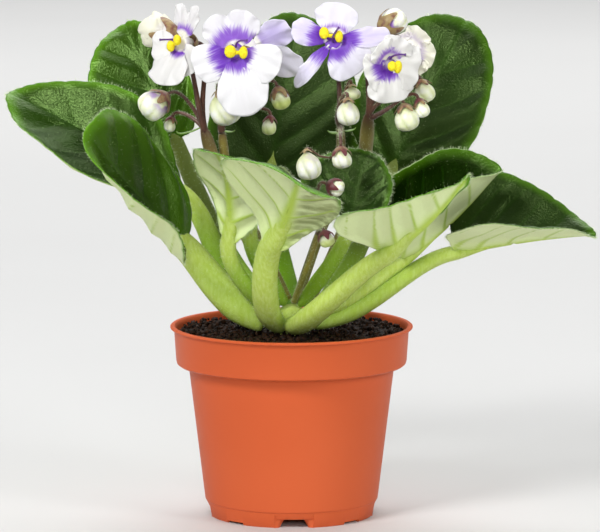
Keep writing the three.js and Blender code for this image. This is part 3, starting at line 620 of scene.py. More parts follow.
# Side veins leave the midrib at their feet (shares of its length) and arch to the tip. It gives 1 on a
# vein, a swell that is 1 half way between two veins, and a wave along the veins for the pebbles.
def veinPattern(x, y, length):
    feet = np.array(leafShape["veinFeet"])
    side = np.abs(y)
    slanted = x - leafShape["veinSlant"] * side - leafShape["veinArch"] * side**2
    share = slanted / length + 0.02 * np.sign(y)
    phase = np.interp(share, feet, np.arange(len(feet)))
    step = length * np.interp(share, 0.5 * (feet[1:] + feet[:-1]), np.diff(feet))
    beside = np.abs(phase - np.round(phase)) * step
    swell = np.abs(np.sin(math.pi * phase)) ** 1.8
    pebbles = np.abs(np.sin(math.pi * (side * 1.1 + 0.25 * x) / (0.084 * length) + np.floor(phase) * 1.7))
    width = np.maximum(0.75 - 0.018 * side, 0.3) + 0.6 * np.exp(-(x**2 + side**2) / 160)
    return np.exp(-((beside / width) ** 2)), swell, pebbles


def midribRadius(leaf, share):  # four fifths of the stalk's at the blade's foot, thinning to the tip
    return 0.8 * leaf["stalk"] * (1 - np.clip(share, 0, 1)) ** 1.15


# The blade: rings from its middle out to the margin, raised between the veins, turned down at the rim and
# rippled, with the veins as grooves above and ridges below, and a fillet below where the midrib joins.
def leafBlade(leaf):
    shape, length, quilt = leafShape, leaf["length"], leaf["quilt"]
    t = outlineTurns(shape["turns"])
    reach = np.linspace(0, 1, shape["rings"])[:, None] ** 0.85
    outX, outY = bladeOutline(leaf, t)
    middle = shape["middle"] * length
    bite = shape["scallop"] * (1 - np.abs(np.sin(shape["scallops"] * t / 2)) ** 0.6)
    scale = reach * (1 - reach**6 * bite / np.hypot(outX - middle, outY))
    x, y = middle + scale * (outX - middle), scale * outY
    share = x / length
    vein, swell, pebbles = veinPattern(x, y, length)
    edge = smoothStep(1.0, 0.86, reach)
    ribs = smoothStep(0.5, 4.0, np.abs(y)) * edge
    left, right = np.broadcast_to(leaf["rim"], 2)
    drop = (left + (right - left) * smoothStep(-6, 6, y)) * np.maximum(0, (reach - 0.8) / 0.2) ** 2
    ripple = shape["wave"] * reach**3 * np.sin(6 * t + leaf["base"][0])
    body = ripple - drop + ribs * quilt * (swell - 0.5 + shape["pebble"] * swell * (pebbles - 0.5))
    thin, thick = shape["edgeThickness"], shape["thickness"]
    half = 0.5 * (thin + (thick - thin) * smoothStep(1, 0.8, reach))
    rib = midribRadius(leaf, share)
    ridge = shape["ridge"] * vein * ribs * (1 - 0.5 * reach)
    fillet = 0.75 * rib * np.exp(-((y / (1.3 * rib + 0.6)) ** 2)) * smoothStep(-0.6, 1.6, x / (rib + 0.5))
    top = bladePoints(leaf, x, y, body + half - shape["groove"] * quilt * vein * ribs)
    bottom = bladePoints(leaf, x, y, body - half - ridge - fillet)
    glow = leaf["glow"] * smoothStep(*leaf["glowFrom"], share)
    rimAbove = glow * smoothStep(0.84, 1.0, reach)
    rimBelow = glow * smoothStep(1 - leaf["band"], 1 - 0.3 * leaf["band"], reach)
    heart = np.exp(-((y / (0.85 * rib + 0.25)) ** 2)) * smoothStep(1.1, 0.5, share)
    heart = np.maximum(heart, 0.9 * vein * smoothStep(0.5, 0.15, np.hypot(x, y) / length))
    part = ringSkin(
        bothFaces(top, bottom), upper=np.repeat([1.0, 0.0], shape["rings"])[:, None],
        vein=bothFaces(np.maximum(vein * edge, np.exp(-((y / 1.1) ** 2)))), rim=bothFaces(rimAbove, rimBelow),
        # Painted shade over the whole upper face of some leaves, a painted shadow on the left half below.
        heart=bothFaces(heart), dusk=bothFaces(leaf["dusk"] * smoothStep(-0.5, -5, y)), dim=leaf["dim"],
        # Painted light on the upper face, stronger towards the margin.
        bright=leaf["bright"] * (0.3 + 0.7 * bothFaces(reach) ** 1.8),
    )
    return part, top, bottom


# The stalk curves from the crown to the blade and runs on under it as the midrib, thinning to the tip.
def leafStalk(leaf):
    flat, root, origin = leafShape["stalkFlat"], np.array(leaf["root"], float), np.zeros(1)
    end = bladePoints(leaf, origin, origin, 0.2 - flat * midribRadius(leaf, 0.0))[0]
    reach = np.linalg.norm(end - root)
    into = leaf["along"] * math.cos(leaf["turn"] / 2) + leaf["normal"] * math.sin(leaf["turn"] / 2)
    s = np.linspace(0, 1, leafShape["stalkRings"])
    path = bezier([root, root + 0.4 * reach * unit(leaf["start"]), end - 0.3 * reach * into, end], s)
    foot = leaf["foot"] + (1 - leaf["foot"]) * np.minimum(1, s / 0.25)
    wide = leaf["stalk"] * (foot - 0.2 * np.maximum(0, (s - 0.25) / 0.75))
    wide = wide * np.sqrt(1 - (1 - np.minimum(1, (s + 0.004) / 0.05)) ** 2)  # the round end in the crown
    share = np.linspace(0.02, 0.93, leafShape["midribRings"])
    rib = midribRadius(leaf, share) + 0.35 * share
    flats = flat + (leafShape["midribFlat"] - flat) * smoothStep(0, 0.4, share)
    under = bladePoints(leaf, share * leaf["length"], 0 * share, 0.2 * (1 - share) - flats * rib)
    high = np.concatenate([flat * wide, flats * rib])
    return np.vstack([path, under]), np.concatenate([wide, rib]), high, np.concatenate([s, 1 + share])


leafHair = {"margin": 620, "face": 260, "stalk": 420, "radius": 0.045, "faceRadius": 0.028}


# Hairs stand off the margin, both faces and the stalk, leaning a little to the tip.
def leafHairs(leaf, top, bottom, path, wide):
    margin, face, stem = leafHair["margin"], leafHair["face"], leafHair["stalk"]
    thick, thin = leafHair["radius"], leafHair["faceRadius"]
    around = top.shape[1]
    picks = rng.integers(0, around, margin)
    spread = rng.normal(0, 0.35, (margin, 3))
    roots = [(top[-1] + bottom[-1])[picks] * 0.5 + 0.2 * spread]
    directions = [unit(top[-1] - top[-4])[picks] + spread]
    lengths = [rng.uniform(0.7, 1.7, margin)]
    for rows, sign in ((top, 1), (bottom, -1)):
        normal = unit(np.cross(np.gradient(rows, axis=0), np.roll(rows, -1, 1) - np.roll(rows, 1, 1)) + 1e-9)
        ring, at = rng.integers(6, len(rows) - 1, face), rng.integers(0, around, face)
        up = normal[ring, at]
        roots.append(rows[ring, at])
        directions.append(up * (sign * np.sign(up @ leaf["normal"]))[:, None] + rng.normal(0, 0.4, (face, 3)))
        lengths.append(rng.uniform(0.35, 0.9, face))
    at = rng.integers(2, 48, stem)  # rows of the stalk, and the first of the midrib
    turn = rng.uniform(0, 2 * math.pi, stem)
    tangent = unit(np.gradient(path, axis=0))[at]
    across = unit(leaf["side"] - (tangent @ leaf["side"])[:, None] * tangent)
    off = ringsOn(0 * across, across, np.cross(tangent, across), np.ones(stem), leafShape["stalkFlat"], turn)
    roots.append(path[at] + wide[at][:, None] * off * 0.98 + rng.uniform(-0.5, 0.5, (stem, 1)) * tangent)
    directions.append(unit(off) + rng.normal(0, 0.3, (stem, 3)) + 0.3 * tangent)
    lengths.append(rng.uniform(0.6, 1.3, stem))
    radius = np.repeat([thick, thin, thick], (margin, 2 * face, stem))
    return needles(np.vstack(roots), np.vstack(directions), np.concatenate(lengths), radius)


for node, spec in leafTable.items():
    leaf = onMidrib({**bladeUsual, **leafUsual, **spec})
    blade, top, bottom = leafBlade(leaf)
    path, wide, high, along = leafStalk(leaf)
    stem = tube(
        path, wide, high, leaf["side"], 20, stalk=1.0 - 0.5 * smoothStep(1.1, 1.8, along), heart=0.6,
        # Painted shade on the stalk: a saturated green on its lower half, an olive-brown on its upper part
        # and along the midrib.
        shaded=leaf["shaded"] * smoothStep(1, 0.5, along), dull=leaf["dull"] * smoothStep(0.3, 0.6, along),
    )
    addPiece(node + "_fine", [blade, stem], hairyLeaf, [node])
    hairs = leafHairs(leaf, top, bottom, path, wide)
    addPiece(node + "_hairs", [hairs], silverHair, (), smooth=False)
print("leaves grown")


# A petal is (angle from the bloom's right, length, half width, lift off its plane, bend). `rings` is how
# far the purple reaches out on each petal, `mouth` and `bowl` set the pale throat, and `calyx` is the width
# and depth of the cup under the bloom. `sepals` is how deep their tips and the notches between them lie.
bloomUsual = {
    "scale": 1, "cup": -14, "cream": 0, "mouth": 0, "bowl": 0.2, "calyx": (3.4, 3.6), "sepals": (3.6, 1.8),
    "sacs": (), "style": ([0, 0.1, 1.4, 4], [1.6, 2.9, 3.9, 4], [1, 2.6, 4.4, 5.2]),
}
# Pollen sacs are (right, up, out, radii). The style runs through four points: their rights, ups and outs.
bloomTable = {
    "bloom_1": {
        "centre": (-40, -15, 177.2), "axis": (-0.76, -0.62, 0.05), "up": (0, 0.2, 1), "scale": 0.9,
        "petals": [(50, 15.4, 3.8, 0, -8), (86, 14, 4.4, 2, -8), (188, 13, 7, 22, 25),
                   (250, 17.5, 10.5, 25, 20), (302, 12.5, 7.5, 5, 15)],
        "cream": 0.2, "rings": (8, 7, 4.6, 6, 3.6), "lilac": (0.1, 0.1, 0, 0, 0),
        "sacs": [(-2.1, -1, 3.5, (1.7, 2.1, 1.4)), (2.0, 0.9, 3.5, (1.7, 2.0, 1.4))],
        "style": ([-0.5, -1.5, -3, -4], [1.2, 1.4, 1.5, 1.5], [1, 3, 5, 7]),
    },
    "bloom_2": {
        "centre": (-20, -28, 175.3), "axis": (0.05, -1, 0.08), "up": (0, 0, 1),
        "petals": [(76, 13.5, 6.4, 12, -10), (129, 14, 5.8, 10, -10), (202, 15.5, 6.8, 7, 12),
                   (280, 21.5, 9.7, 4, 16), (337, 15.5, 7.2, 7, 12)],
        "cream": 0.1, "rings": (9.8, 10.6, 10.8, 8.8, 7.4), "lilac": (0.15, 0.1, 0, 0, 0), "mouth": 0.8,
        "bowl": 0.36, "sacs": [(-2.2, 0, 2.5, (2.15, 2.4, 1.4)), (2.55, -0.4, 2.5, (1.6, 2.35, 1.3))],
    },
    "bloom_3": {
        "centre": (-15.6, -8.6, 175.6), "axis": (0.25, 0.9, 0.3), "up": (0, 0, 1), "scale": 0.9,
        "petals": [(85, 9.5, 6, 6, 10), (156, 18.5, 6, 2, 10), (207, 22, 6.6, 0, 15), (278, 13, 7, 4, 10),
                   (335, 11, 6, 6, 10)],
        "rings": (8,) * 5, "lilac": (0.5, 0.8, 0.15, 0.2, 0.2), "sepals": (1.0, 0.7),
    },
    "bloom_4": {
        "centre": (15.2, -16, 178), "axis": (-0.1, -0.9, 0.35), "up": (0, 0.2, 1),
        "petals": [(82, 12.5, 8, 10, -8), (165, 14.5, 4.8, 14, 20), (229, 19.5, 3, -10, 20),
                   (307, 13.5, 8.6, -6, 15), (6, 19.5, 3.8, -2, 10)],
        "rings": (6.5, 9.5, 10, 8, 10), "lilac": (0.2, 0.6, 0.35, 0.15, 0.6), "bowl": 0.6,
        "sacs": [(-3.1, 2.3, 2.5, (1.8, 2.3, 1.3)), (2.4, 0.9, 2.5, (1.5, 2.3, 1.3))],
        "style": ([0, 0.2, 1.2, 2.6], [-0.6, 0.6, 2.2, 4.0], [1, 3, 3.8, 4.2]),
    },
    "bloom_5": {
        "centre": (35, -28, 171), "axis": (0.48, -0.88, -0.06), "up": (0.1, 0, 1), "scale": 0.85,
        "petals": [(70, 10.7, 7.5, 15, 30), (132, 9.5, 7, 22, 40), (208, 10.5, 8.5, 8, 15),
                   (280, 15, 11, 4, 15), (352, 13.4, 9.5, 8, 10)],
        "cream": 0.25, "rings": (6.5, 7.5, 8.5, 7.5, 3.6), "lilac": (0.05, 0.05, 0, 0, 0), "mouth": 0.9,
        "bowl": 0.36, "sacs": [(-0.5, -0.5, 4, (1.7, 1.9, 1.4)), (1.9, -0.7, 4.1, (1.6, 2.4, 1.4))],
    },
    "bloom_6": {
        "centre": (42.8, -9, 174), "axis": (0.4, 0.85, 0.2), "up": (0, 0, 1), "scale": 0.62,
        "petals": [(62, 8, 7, 5, 10), (128, 13, 8.5, 5, 10), (192, 14, 8.5, 5, 10), (252, 14, 8.5, 5, 10),
                   (318, 11, 8, 5, 10)],
        "cream": 0.6, "rings": (7,) * 5, "lilac": (0.1, 0.25, 0.05, 0, 0),
    },
    "bloom_7": {
        "centre": (-46, -2, 179), "axis": (-0.6, 0.75, 0.2), "up": (0, 0, 1), "cup": 60,
        "petals": [(18, 9.6, 5.8, 64, -88), (90, 9.2, 5.6, 67, -88), (162, 9.8, 5.8, 63, -86),
                   (234, 9.3, 5.7, 66, -88), (306, 9.6, 5.7, 64.5, -88)],
        "cream": 0.7, "rings": (3.6,) * 5, "lilac": (0.15, 0, 0, 0, 0.1), "calyx": (6.2, 8),
        "sepals": (8.5, 2.2),
    },
}
# The tube's profile is (height, radius), from the middle of its mouth down to its foot.
throat = {
    "radius": 3.2, "depth": 4.6, "profile": [
        (0.4, 0), (0.4, 2.6), (0.2, 3.1), (-0.8, 3.2), (-2, 2.6), (-3.4, 1.9), (-4.6, 1.5), (-4.6, 0),
    ],
}


# Adds a bloom's own right and top, square to the axis along which it looks.
def turnedBloom(bloom):
    axis = unit(bloom["axis"])
    right = unit(np.cross(bloom["up"], axis))
    return {**bloom, "axis": axis, "right": right, "top": np.cross(axis, right)}


# Places (x, y, z) to the right of, above and in front of the bloom's middle.
def onBloom(bloom, x, y, z):
    x, y, z = (np.asarray(v, float)[..., None] for v in (x, y, z))
    return np.array(bloom["centre"], float) + x * bloom["right"] + y * bloom["top"] + z * bloom["axis"]


petalShape = {
    "turns": 64, "rings": 18, "ripple": 0.4, "crimp": 0.28, "furrow": 0.5, "ribs": 0.06, "halfThick": 0.35,
    "halfEdge": 0.15,
}


# A petal is a thin blade from the throat: a broad tongue, uneven in outline, with a rippled margin.
def petalSkin(bloom, petal, lilac, ring, seed):
    angle, length, half, lift, bend = petal
    c, s = math.cos(math.radians(angle)), math.sin(math.radians(angle))
    flat, rise = math.cos(math.radians(lift)), math.sin(math.radians(lift))
    start, length, width = 0.6 * throat["radius"], length * bloom["scale"], half * bloom["scale"]
    far = start + length * flat
    blade = onMidrib({
        **bladeUsual, "base": onBloom(bloom, c * start, s * start, 0),
        "tip": onBloom(bloom, c * far, s * far, length * rise),
        "face": onBloom(bloom, -c * rise, -s * rise, flat) - np.array(bloom["centre"]), "bend": bend,
        "half": (width, width), "fold": (4, 4), "curl": (bloom["cup"],) * 2, "egg": -0.28, "lobe": 0,
    })
    shape = petalShape
    t = outlineTurns(shape["turns"])
    reach = np.linspace(0, 1, shape["rings"])[:, None]
    outX, outY = bladeOutline(blade, t)
    middle = leafShape["middle"] * blade["length"]
    uneven = 0.03 * np.sin(2 * t + seed) + 0.03 * np.sin(3 * t + 2 * seed) + 0.012 * np.sin(9 * t + 3 * seed)
    spread = reach * (1 + reach**3 * (uneven - 0.02))
    x, y = middle + spread * (outX - middle), spread * outY
    inside = smoothStep(1, 0.6, reach)
    body = shape["ripple"] * reach**3 * np.sin(6 * t + blade["base"][0])
    body = body + shape["crimp"] * reach**4 * np.sin(10 * t + 2 * seed)
    body = body + shape["ribs"] * np.cos(2.2 * y) * inside
    body = body - shape["furrow"] * np.exp(-((y / (0.2 * width)) ** 2)) * np.clip(x / blade["length"], 0, 1)
    thick = shape["halfEdge"] + (shape["halfThick"] - shape["halfEdge"]) * inside
    rows = bothFaces(bladePoints(blade, x, y, body + thick), bladePoints(blade, x, y, body - thick))
    away = np.linalg.norm(rows - np.array(bloom["centre"]), axis=-1) + bloom["mouth"]
    return ringSkin(
        rows, reach=away / ring, away=away, across=bothFaces(y), seed=3 * seed, cream=bloom["cream"],
        lilac=bothFaces(lilac * (1.15 - 0.75 * reach**2)), back=np.repeat([0.0, 1.0], len(reach))[:, None],
        rich=0.4 if s > 0.3 else 1.0,
    )


# The short tube under the petals, a turned profile, with a pale bowl at its mouth.
def throatTube(bloom):
    depth, radius = (np.array(column)[:, None] for column in zip(*throat["profile"]))
    turn = fullTurn(28)
    rows = onBloom(bloom, radius * np.cos(turn), radius * np.sin(turn), depth + 0 * turn)
    bowl = bloom["bowl"] + 0.15 * radius / throat["radius"]
    return ringSkin(rows, reach=bowl, away=8 * bowl, rich=1.0)


# Ellipsoid with three radii along the bloom's own directions.
def bloomBlob(bloom, centre, radii, around=20, rings=12):
    s, turn = np.linspace(0, math.pi, rings)[:, None], fullTurn(around)
    ball = (np.sin(s) * np.cos(turn), np.sin(s) * np.sin(turn), np.cos(s) * np.ones(around))
    return ringSkin(onBloom(bloom, *(c + r * along for c, r, along in zip(centre, radii, ball))))


blooms = {node: turnedBloom({**bloomUsual, **spec}) for node, spec in bloomTable.items()}
for node, bloom in blooms.items():
    number = int(node.split("_")[1])
    parts = [throatTube(bloom)]
    for k, setting in enumerate(zip(bloom["petals"], bloom["lilac"], bloom["rings"])):
        parts.append(petalSkin(bloom, *setting, 1.7 * k + number))
    addPiece(node + "_fine", parts, petalVelvet, [node])
    if bloom["sacs"]:
        sacs = [bloomBlob(bloom, sac[:3], sac[3]) for sac in bloom["sacs"]]
        between = np.mean([sac[:3] for sac in bloom["sacs"]], axis=0) - np.array([0, 0.2, 0.5])
        sacs.append(bloomBlob(bloom, between, (1.8, 0.8, 0.7), 12, 8))
        addPiece("anthers_%d_fine" % number, sacs, pollen, ["anthers_%d" % number])
        thread = throughPoints(onBloom(bloom, *bloom["style"]), 20)
        swell = 0.36 + 0.2 * smoothStep(0.9, 1, np.linspace(0, 1, len(thread)))  # a small knob at its end
        pin = tube(thread, swell, swell, bloom["axis"], 10)
        addPiece("style_%d_fine" % number, [pin], styleViolet, ["style_%d" % number])
print("blooms opened")


# A bud hangs from `top` along `axis`, with `size` its radius and length. `sepals` is the depth of their
# tips, as a share of the length, and their tone. `lobes` deepens its folds, `flush` and `lime` tint it.
# Its pedicel leaves the fork of its stalk along `lean`, or goes by the points of `way`.
budUsual = {
    "sepals": (0.36, 0.5), "lobes": 0.12, "flush": 0, "lime": 0, "thick": 0.68, "lean": None, "way": None,
}
budTable = {
    "bud_01": {"top": (32.6, -1, 181), "axis": (0.8, 0.35, 0.4), "size": (4.8, 11), "stalk": "right",
               "sepals": (0.75, 0.7), "flush": 1},
    "bud_02": {"top": (-45.6, -11, 157.6), "axis": (-0.78, 0, -0.62), "size": (5.7, 11.5), "stalk": "left",
               "sepals": (0.42, 0.4), "flush": 0.8},
    "bud_03": {"top": (-44, -7, 148.5), "axis": (-0.3, -0.1, -1), "size": (2.2, 5), "stalk": "left",
               "sepals": (0.5, 0.2)},
    "bud_04": {"top": (-26, -21, 160.2), "axis": (0.25, 0, -1), "size": (5.9, 13), "stalk": "left_inner",
               "sepals": (0.2, 0.8), "lobes": 0.24},
    "bud_05": {"top": (-5, -15, 160.5), "axis": (0.25, -0.1, -1), "size": (3.5, 8), "stalk": "left_inner",
               "sepals": (0.6, 0.55), "lime": 0.9, "flush": 0.7},
    "bud_06": {"top": (-7.8, -15, 149.8), "axis": (-0.1, -0.1, -1), "size": (2.7, 6.5), "stalk": "left_inner",
               "sepals": (0.45, 0), "lime": 0.7},
    "bud_07": {"top": (22, -13, 161), "axis": (0.1, 0, -1), "size": (3.2, 5), "stalk": "middle",
               "sepals": (0.2, 1), "lime": 0.5},
    "bud_08": {"top": (20.5, -21, 157), "axis": (0, -0.1, -1), "size": (4.3, 9.5), "stalk": "middle",
               "sepals": (0.22, 0.7), "lobes": 0.2, "lean": (-0.5, -0.8, 0.5), "flush": 0.3},
    "bud_09": {"top": (5.5, -38, 140), "axis": (0.15, -0.2, -1), "size": (4.7, 10.5), "stalk": "middle",
               "sepals": (0.14, 0.9), "lobes": 0.24, "flush": 0.3, "thick": 0.4,
               "way": [(18.3, -16, 144), (17.5, -22.5, 137), (10.5, -31, 137.5), (6.3, -35.5, 141)]},
    "bud_10": {"top": (18, -28, 140), "axis": (0.05, -0.1, -1), "size": (3.7, 7.5), "stalk": "middle",
               "sepals": (0.5, 0.15), "lean": (0, -1, -0.4)},
    "bud_11": {"top": (47.5, -10, 162.5), "axis": (0.3, -0.1, -0.95), "size": (3.9, 8), "stalk": "right",
               "sepals": (0.35, 0.4), "lime": 0.3},
    "bud_12": {"top": (41, -22, 155), "axis": (0.2, -0.1, -1), "size": (4.6, 9.5), "stalk": "right",
               "lime": 0.2},
    "bud_13": {"top": (46.5, -19, 156.5), "axis": (0.3, -0.1, -0.9), "size": (2.8, 6.5), "stalk": "right",
               "sepals": (0.45, 0.3), "lean": (0.8, -0.6, 0.2)},
    "bud_14": {"top": (13.5, -34, 127.5), "axis": (0.9, -0.1, -0.4), "size": (3.1, 6), "stalk": "young",
               "sepals": (0.85, -0.4)},
    "bud_15": {"top": (12, -26, 108.8), "axis": (0.3, -0.2, -1), "size": (2.9, 5.5), "stalk": "young",
               "sepals": (0.7, -0.2), "lime": 0.8},
}
buds = {node: {**budUsual, **spec} for node, spec in budTable.items()}
budOutline = [(0, 0), (0.11, 0.4), (0.32, 0.84), (0.56, 1), (0.78, 0.93), (0.93, 0.6), (1, 0)]


def sideways(along):  # two directions square to an axis and to each other
    side = np.array([1.0, 0, 0]) if abs(along[2]) > 0.9 else np.array([0, 0, 1.0])
    across = unit(side - side @ along * along)
    return across, np.cross(along, across)


# A bud is a turned outline with five soft petal folds that deepen and twist a little to its end.
def budSkinPart(bud):
    (wide, long), along = bud["size"], unit(bud["axis"])
    profile = throughPoints(budOutline, 30)
    s, r = profile[:, :1], np.maximum(profile[:, 1:], 0)
    turn = fullTurn(50)
    fold = np.abs(np.sin(2.5 * (turn + 0.9 * s)))
    lean = 0.05 * s * np.sin(turn + 9 * wide)
    radius = wide * r * (1 - (0.05 + bud["lobes"] * s) * (1 - fold**0.6) + lean)
    path = np.array(bud["top"], float) + (s * long)[..., None] * along
    return ringSkin(
        ringsOn(path, *sideways(along), radius, radius, turn), top=smoothStep(0.6, 0.1, s) * 0.7,
        flush=bud["flush"] * smoothStep(0.6, 0.3, s), crease=(1 - fold) ** 4 * s,
        lime=bud["lime"] * smoothStep(0.3, 0.7, s),
    )


# Five sepals as one cup that lies on the radius `radiusAt` gives for each depth below the top: its edge
# runs down to a point under each sepal and up between them.
def calyx(top, along, radiusAt, tipAt, notchAt, tone=0.5):
    turn = fullTurn(60)
    point = (0.5 + 0.5 * np.cos(5 * turn + 3 * tone)) ** 1.7
    s = np.linspace(0, 1, 14)[:, None]
    depth = s * (notchAt + (tipAt - notchAt) * point)
    faces = []
    for inset, lift in ((0.3, 0.1 + 0.4 * (1 - s**5)), (0, 0.1)):
        radius = np.where(s > 0, radiusAt(depth) + lift + 0.35 * s**6, 0.15)
        path = np.asarray(top, float) + (depth - 0.8 - inset * (1 - s))[..., None] * along
        faces.append(ringsOn(path, *sideways(along), radius, radius, turn))
    return ringSkin(bothFaces(*faces), sepal=1.0, tone=tone)


def budRadius(bud):  # a bud's radius at each depth below its top, a little wider at its shoulder
    s, r = np.array(budOutline).T
    wide, long = bud["size"]
    at = lambda depth: wide * np.interp(np.clip(depth / long, 0, 1), s, r)
    return lambda depth: np.maximum(at(depth), at(depth - 0.8))


def bloomCup(bloom):  # a quarter circle, stretched to the cup's width and depth
    wide, deep = bloom["calyx"]
    return lambda depth: wide * np.sqrt(1 - (1 - np.clip(depth / deep, 0, 1)) ** 2)


# A pedicel leaves the fork along `lean`, arches over and meets its flower along `into`, or goes by `way`.
def pedicel(start, lean, end, into, thick, way=None):
    reach = np.linalg.norm(end - start)
    s = np.linspace(0, 1, 26)
    path = bezier([start, start + 0.4 * reach * lean, end - 0.28 * reach * into, end], s)
    if way:
        path = throughPoints([start, *way, end], len(s))
    radius = thick * (0.9 + 0.8 * (1 - s) ** 3)
    return tube(path, radius, radius, np.array([1, 0.3, 0.0]), 10, brown=1.0), path


# A bract is a small pointed leaf on a flower stalk, from its foot out to its tip, curling up.
def bract(foot, tip, half):
    foot, tip = np.array(foot, float), np.array(tip, float)
    down = np.array([0, 0, -np.linalg.norm(tip - foot)])
    s = np.linspace(0, 1, 14)
    path = bezier([foot, foot + 0.4 * (tip - foot) + 0.15 * down, tip + 0.2 * down, tip], s)
    wide = half * np.sin(math.pi * (0.12 + 0.88 * s) ** 0.8) + 0.08
    return tube(path, wide, 0.22, np.array([0.1, 1.0, 0.3]), 12, green=1.0)


# A flower stalk runs through its points to a fork, `wide` at its foot and its end. `blooms` are the numbers
# of those it carries, `brown` is its share of russet, and a bract is (foot, tip, half width).
stalkTable = {
    "left": {
        "points": [(-6, -1, 77), (-15, -1, 100), (-25.5, -6, 124), (-32.5, -13, 147)], "wide": (2, 2.5),
        "blooms": (1, 7), "brown": 0.55, "bracts": [((-33, -12, 146), (-42, -13, 144.6), 0.8)],
    },
    "left_inner": {
        "points": [(-1.5, 1, 80), (-11, 3, 100), (-22.5, -3, 124), (-26, -10, 147)], "wide": (1.9, 1.7),
        "blooms": (2, 3), "brown": 0.25, "bracts": [((-25.4, -9, 144.5), (-20.8, -11, 144.8), 0.7)],
    },
    "middle": {
        "points": [(2, 1, 80), (9, 5, 100), (17.5, 4, 124), (18, -6.5, 149)], "wide": (1.9, 1.7),
        "blooms": (4,), "brown": 0.5,
        "bracts": [((17.2, -4, 143.2), (13.4, -6.5, 144.2), 0.9),
                   ((19.6, -4.4, 143.8), (23.6, -6, 145.2), 0.8)],
    },
    "right": {
        "points": [(5.5, 0, 78), (16, 3, 98), (25.5, 4, 124), (28.5, -12, 152)], "wide": (2.1, 2.7),
        "blooms": (5, 6), "brown": 0.35, "bracts": (),
    },
    "young": {
        "points": [(1, -4, 80), (5, -14, 92), (9, -21, 105), (10.5, -24.5, 111)], "wide": (1.3, 0.9),
        "blooms": (), "brown": 0.3, "bracts": (),
    },
}


# Hairs square to the stalk and its pedicels, from places picked at random along them.
def stalkHairs(lines, amount):
    line = np.vstack([path for path, _ in lines])
    radius = np.concatenate([np.broadcast_to(r, len(path)) for path, r in lines])
    tangent = np.vstack([unit(np.gradient(path, axis=0)) for path, _ in lines])
    at = rng.integers(0, len(line), amount)
    off = unit(np.cross(tangent[at], unit(rng.normal(0, 1, (amount, 3)))))
    roots = line[at] + off * radius[at][:, None] * 0.95 + rng.uniform(-0.8, 0.8, (amount, 1)) * tangent[at]
    return needles(roots, off + rng.normal(0, 0.3, (amount, 3)), rng.uniform(0.5, 1.2, amount), 0.04)


for name, stalk in stalkTable.items():
    path = throughPoints(stalk["points"], 44)
    s = np.linspace(0, 1, len(path))
    wide = stalk["wide"][0] + (stalk["wide"][1] - stalk["wide"][0]) * s
    wide = wide * np.sqrt(1 - np.clip((s - 0.86) / 0.14, 0, 0.98) ** 2)  # the round end above the fork
    fade = np.maximum(stalk["brown"] * smoothStep(0.2, 0.8, s), smoothStep(0.86, 1, s))
    parts = [tube(path, wide, 0.85 * wide, np.array([1.0, 0, 0]), 18, brown=fade)]
    parts += [bract(*one) for one in stalk["bracts"]]
    lines = [(path, wide)]
    rise = unit(path[-1] - path[-3])
    fork = np.array(stalk["points"][-1], float) - 3.5 * rise
    for number in stalk["blooms"]:
        bloom = blooms["bloom_%d" % number]
        foot, end = (onBloom(bloom, 0, 0, -throat["depth"] - below) for below in (0.9, 2.3))
        part, line = pedicel(fork, rise, end, bloom["axis"], 0.86)
        parts += [part, calyx(foot, bloom["axis"], bloomCup(bloom), *bloom["sepals"])]
        lines.append((line, 0.7))
    for bud in (bud for bud in buds.values() if bud["stalk"] == name):
        along, lean = unit(bud["axis"]), unit(bud["lean"] or rise)
        end = np.array(bud["top"]) - 0.9 * along
        part, line = pedicel(fork, lean, end, along, bud["thick"], bud["way"])
        tip, tone = bud["sepals"]
        tip = tip * bud["size"][1]
        parts += [part, calyx(bud["top"], along, budRadius(bud), tip, 0.4 * tip, tone)]
        lines.append((line, 0.7))
    node = "flower_stalk_" + name
    addPiece(node + "_fine", parts, stalkSkin, [node])
    hairs = stalkHairs(lines, 260 * len(lines))
    addPiece(node + "_hairs", [hairs], silverHair, (), smooth=False)
for node, bud in buds.items():
    addPiece(node + "_fine", [budSkinPart(bud)], budSkin, [node])
print("stalks and buds grown")


# A profile of (radius, height) points turned about the upright axis.
def turned(profile, around):
    turn = fullTurn(around)
    r, z = (np.array(column)[:, None] for column in zip(*profile))
    return np.stack([r * np.cos(turn), r * np.sin(turn), z + 0 * turn], -1)


# The crown is the plant's short thick stem, turned and moved off the middle by its shift.
crown = {"profile": [(0, 57), (3, 58), (6.5, 67), (6.5, 73), (3.4, 78), (0, 79)], "shift": (0, -1, 0)}
crownRows = turned(throughPoints(crown["profile"], 24), 32) + np.array(crown["shift"])
addPiece("crown_fine", [ringSkin(crownRows, stalk=1.0)], hairyLeaf, ["crown"])

# Each corner of the pot is its outer radius and its height. `notches` are (width, height), wide and narrow
# in turn, the first of them `notchTurn` degrees from the front. The cheeks of a wide one are `cheekDeep`
# deep, and end `cheekMouth` apart.
pot = {
    "lip": (45, 70), "bandTop": (43.6, 70), "bandFoot": (42.7, 56.4), "bodyTop": (38.1, 56.4),
    "bodyFoot": (32.1, 6), "footTop": (31.7, 6), "foot": (30.6, 0), "pad": (12, 0), "floor": (0, 3),
    "wall": 1.1, "notches": ((14, 3.3), (8, 0.9)), "notchTurn": 2, "cheekMouth": 8, "cheekDeep": 3.3,
}
# The peat's waves are (share of `rough`, size), and `gap` is the room between it and the wall.
peat = {"top": 68.1, "rough": 0.4, "waves": ((1, 3.2), (0.6, 1.1), (0.35, 0.5)), "gap": 0.5, "crumbs": 1500}


# Profile points, each so far out from and up from a corner, and inset by a wall.
def fromCorners(moves, inset=0.0):
    return [(max(pot[corner][0] - inset + out, 0), pot[corner][1] + up) for corner, out, up in moves]


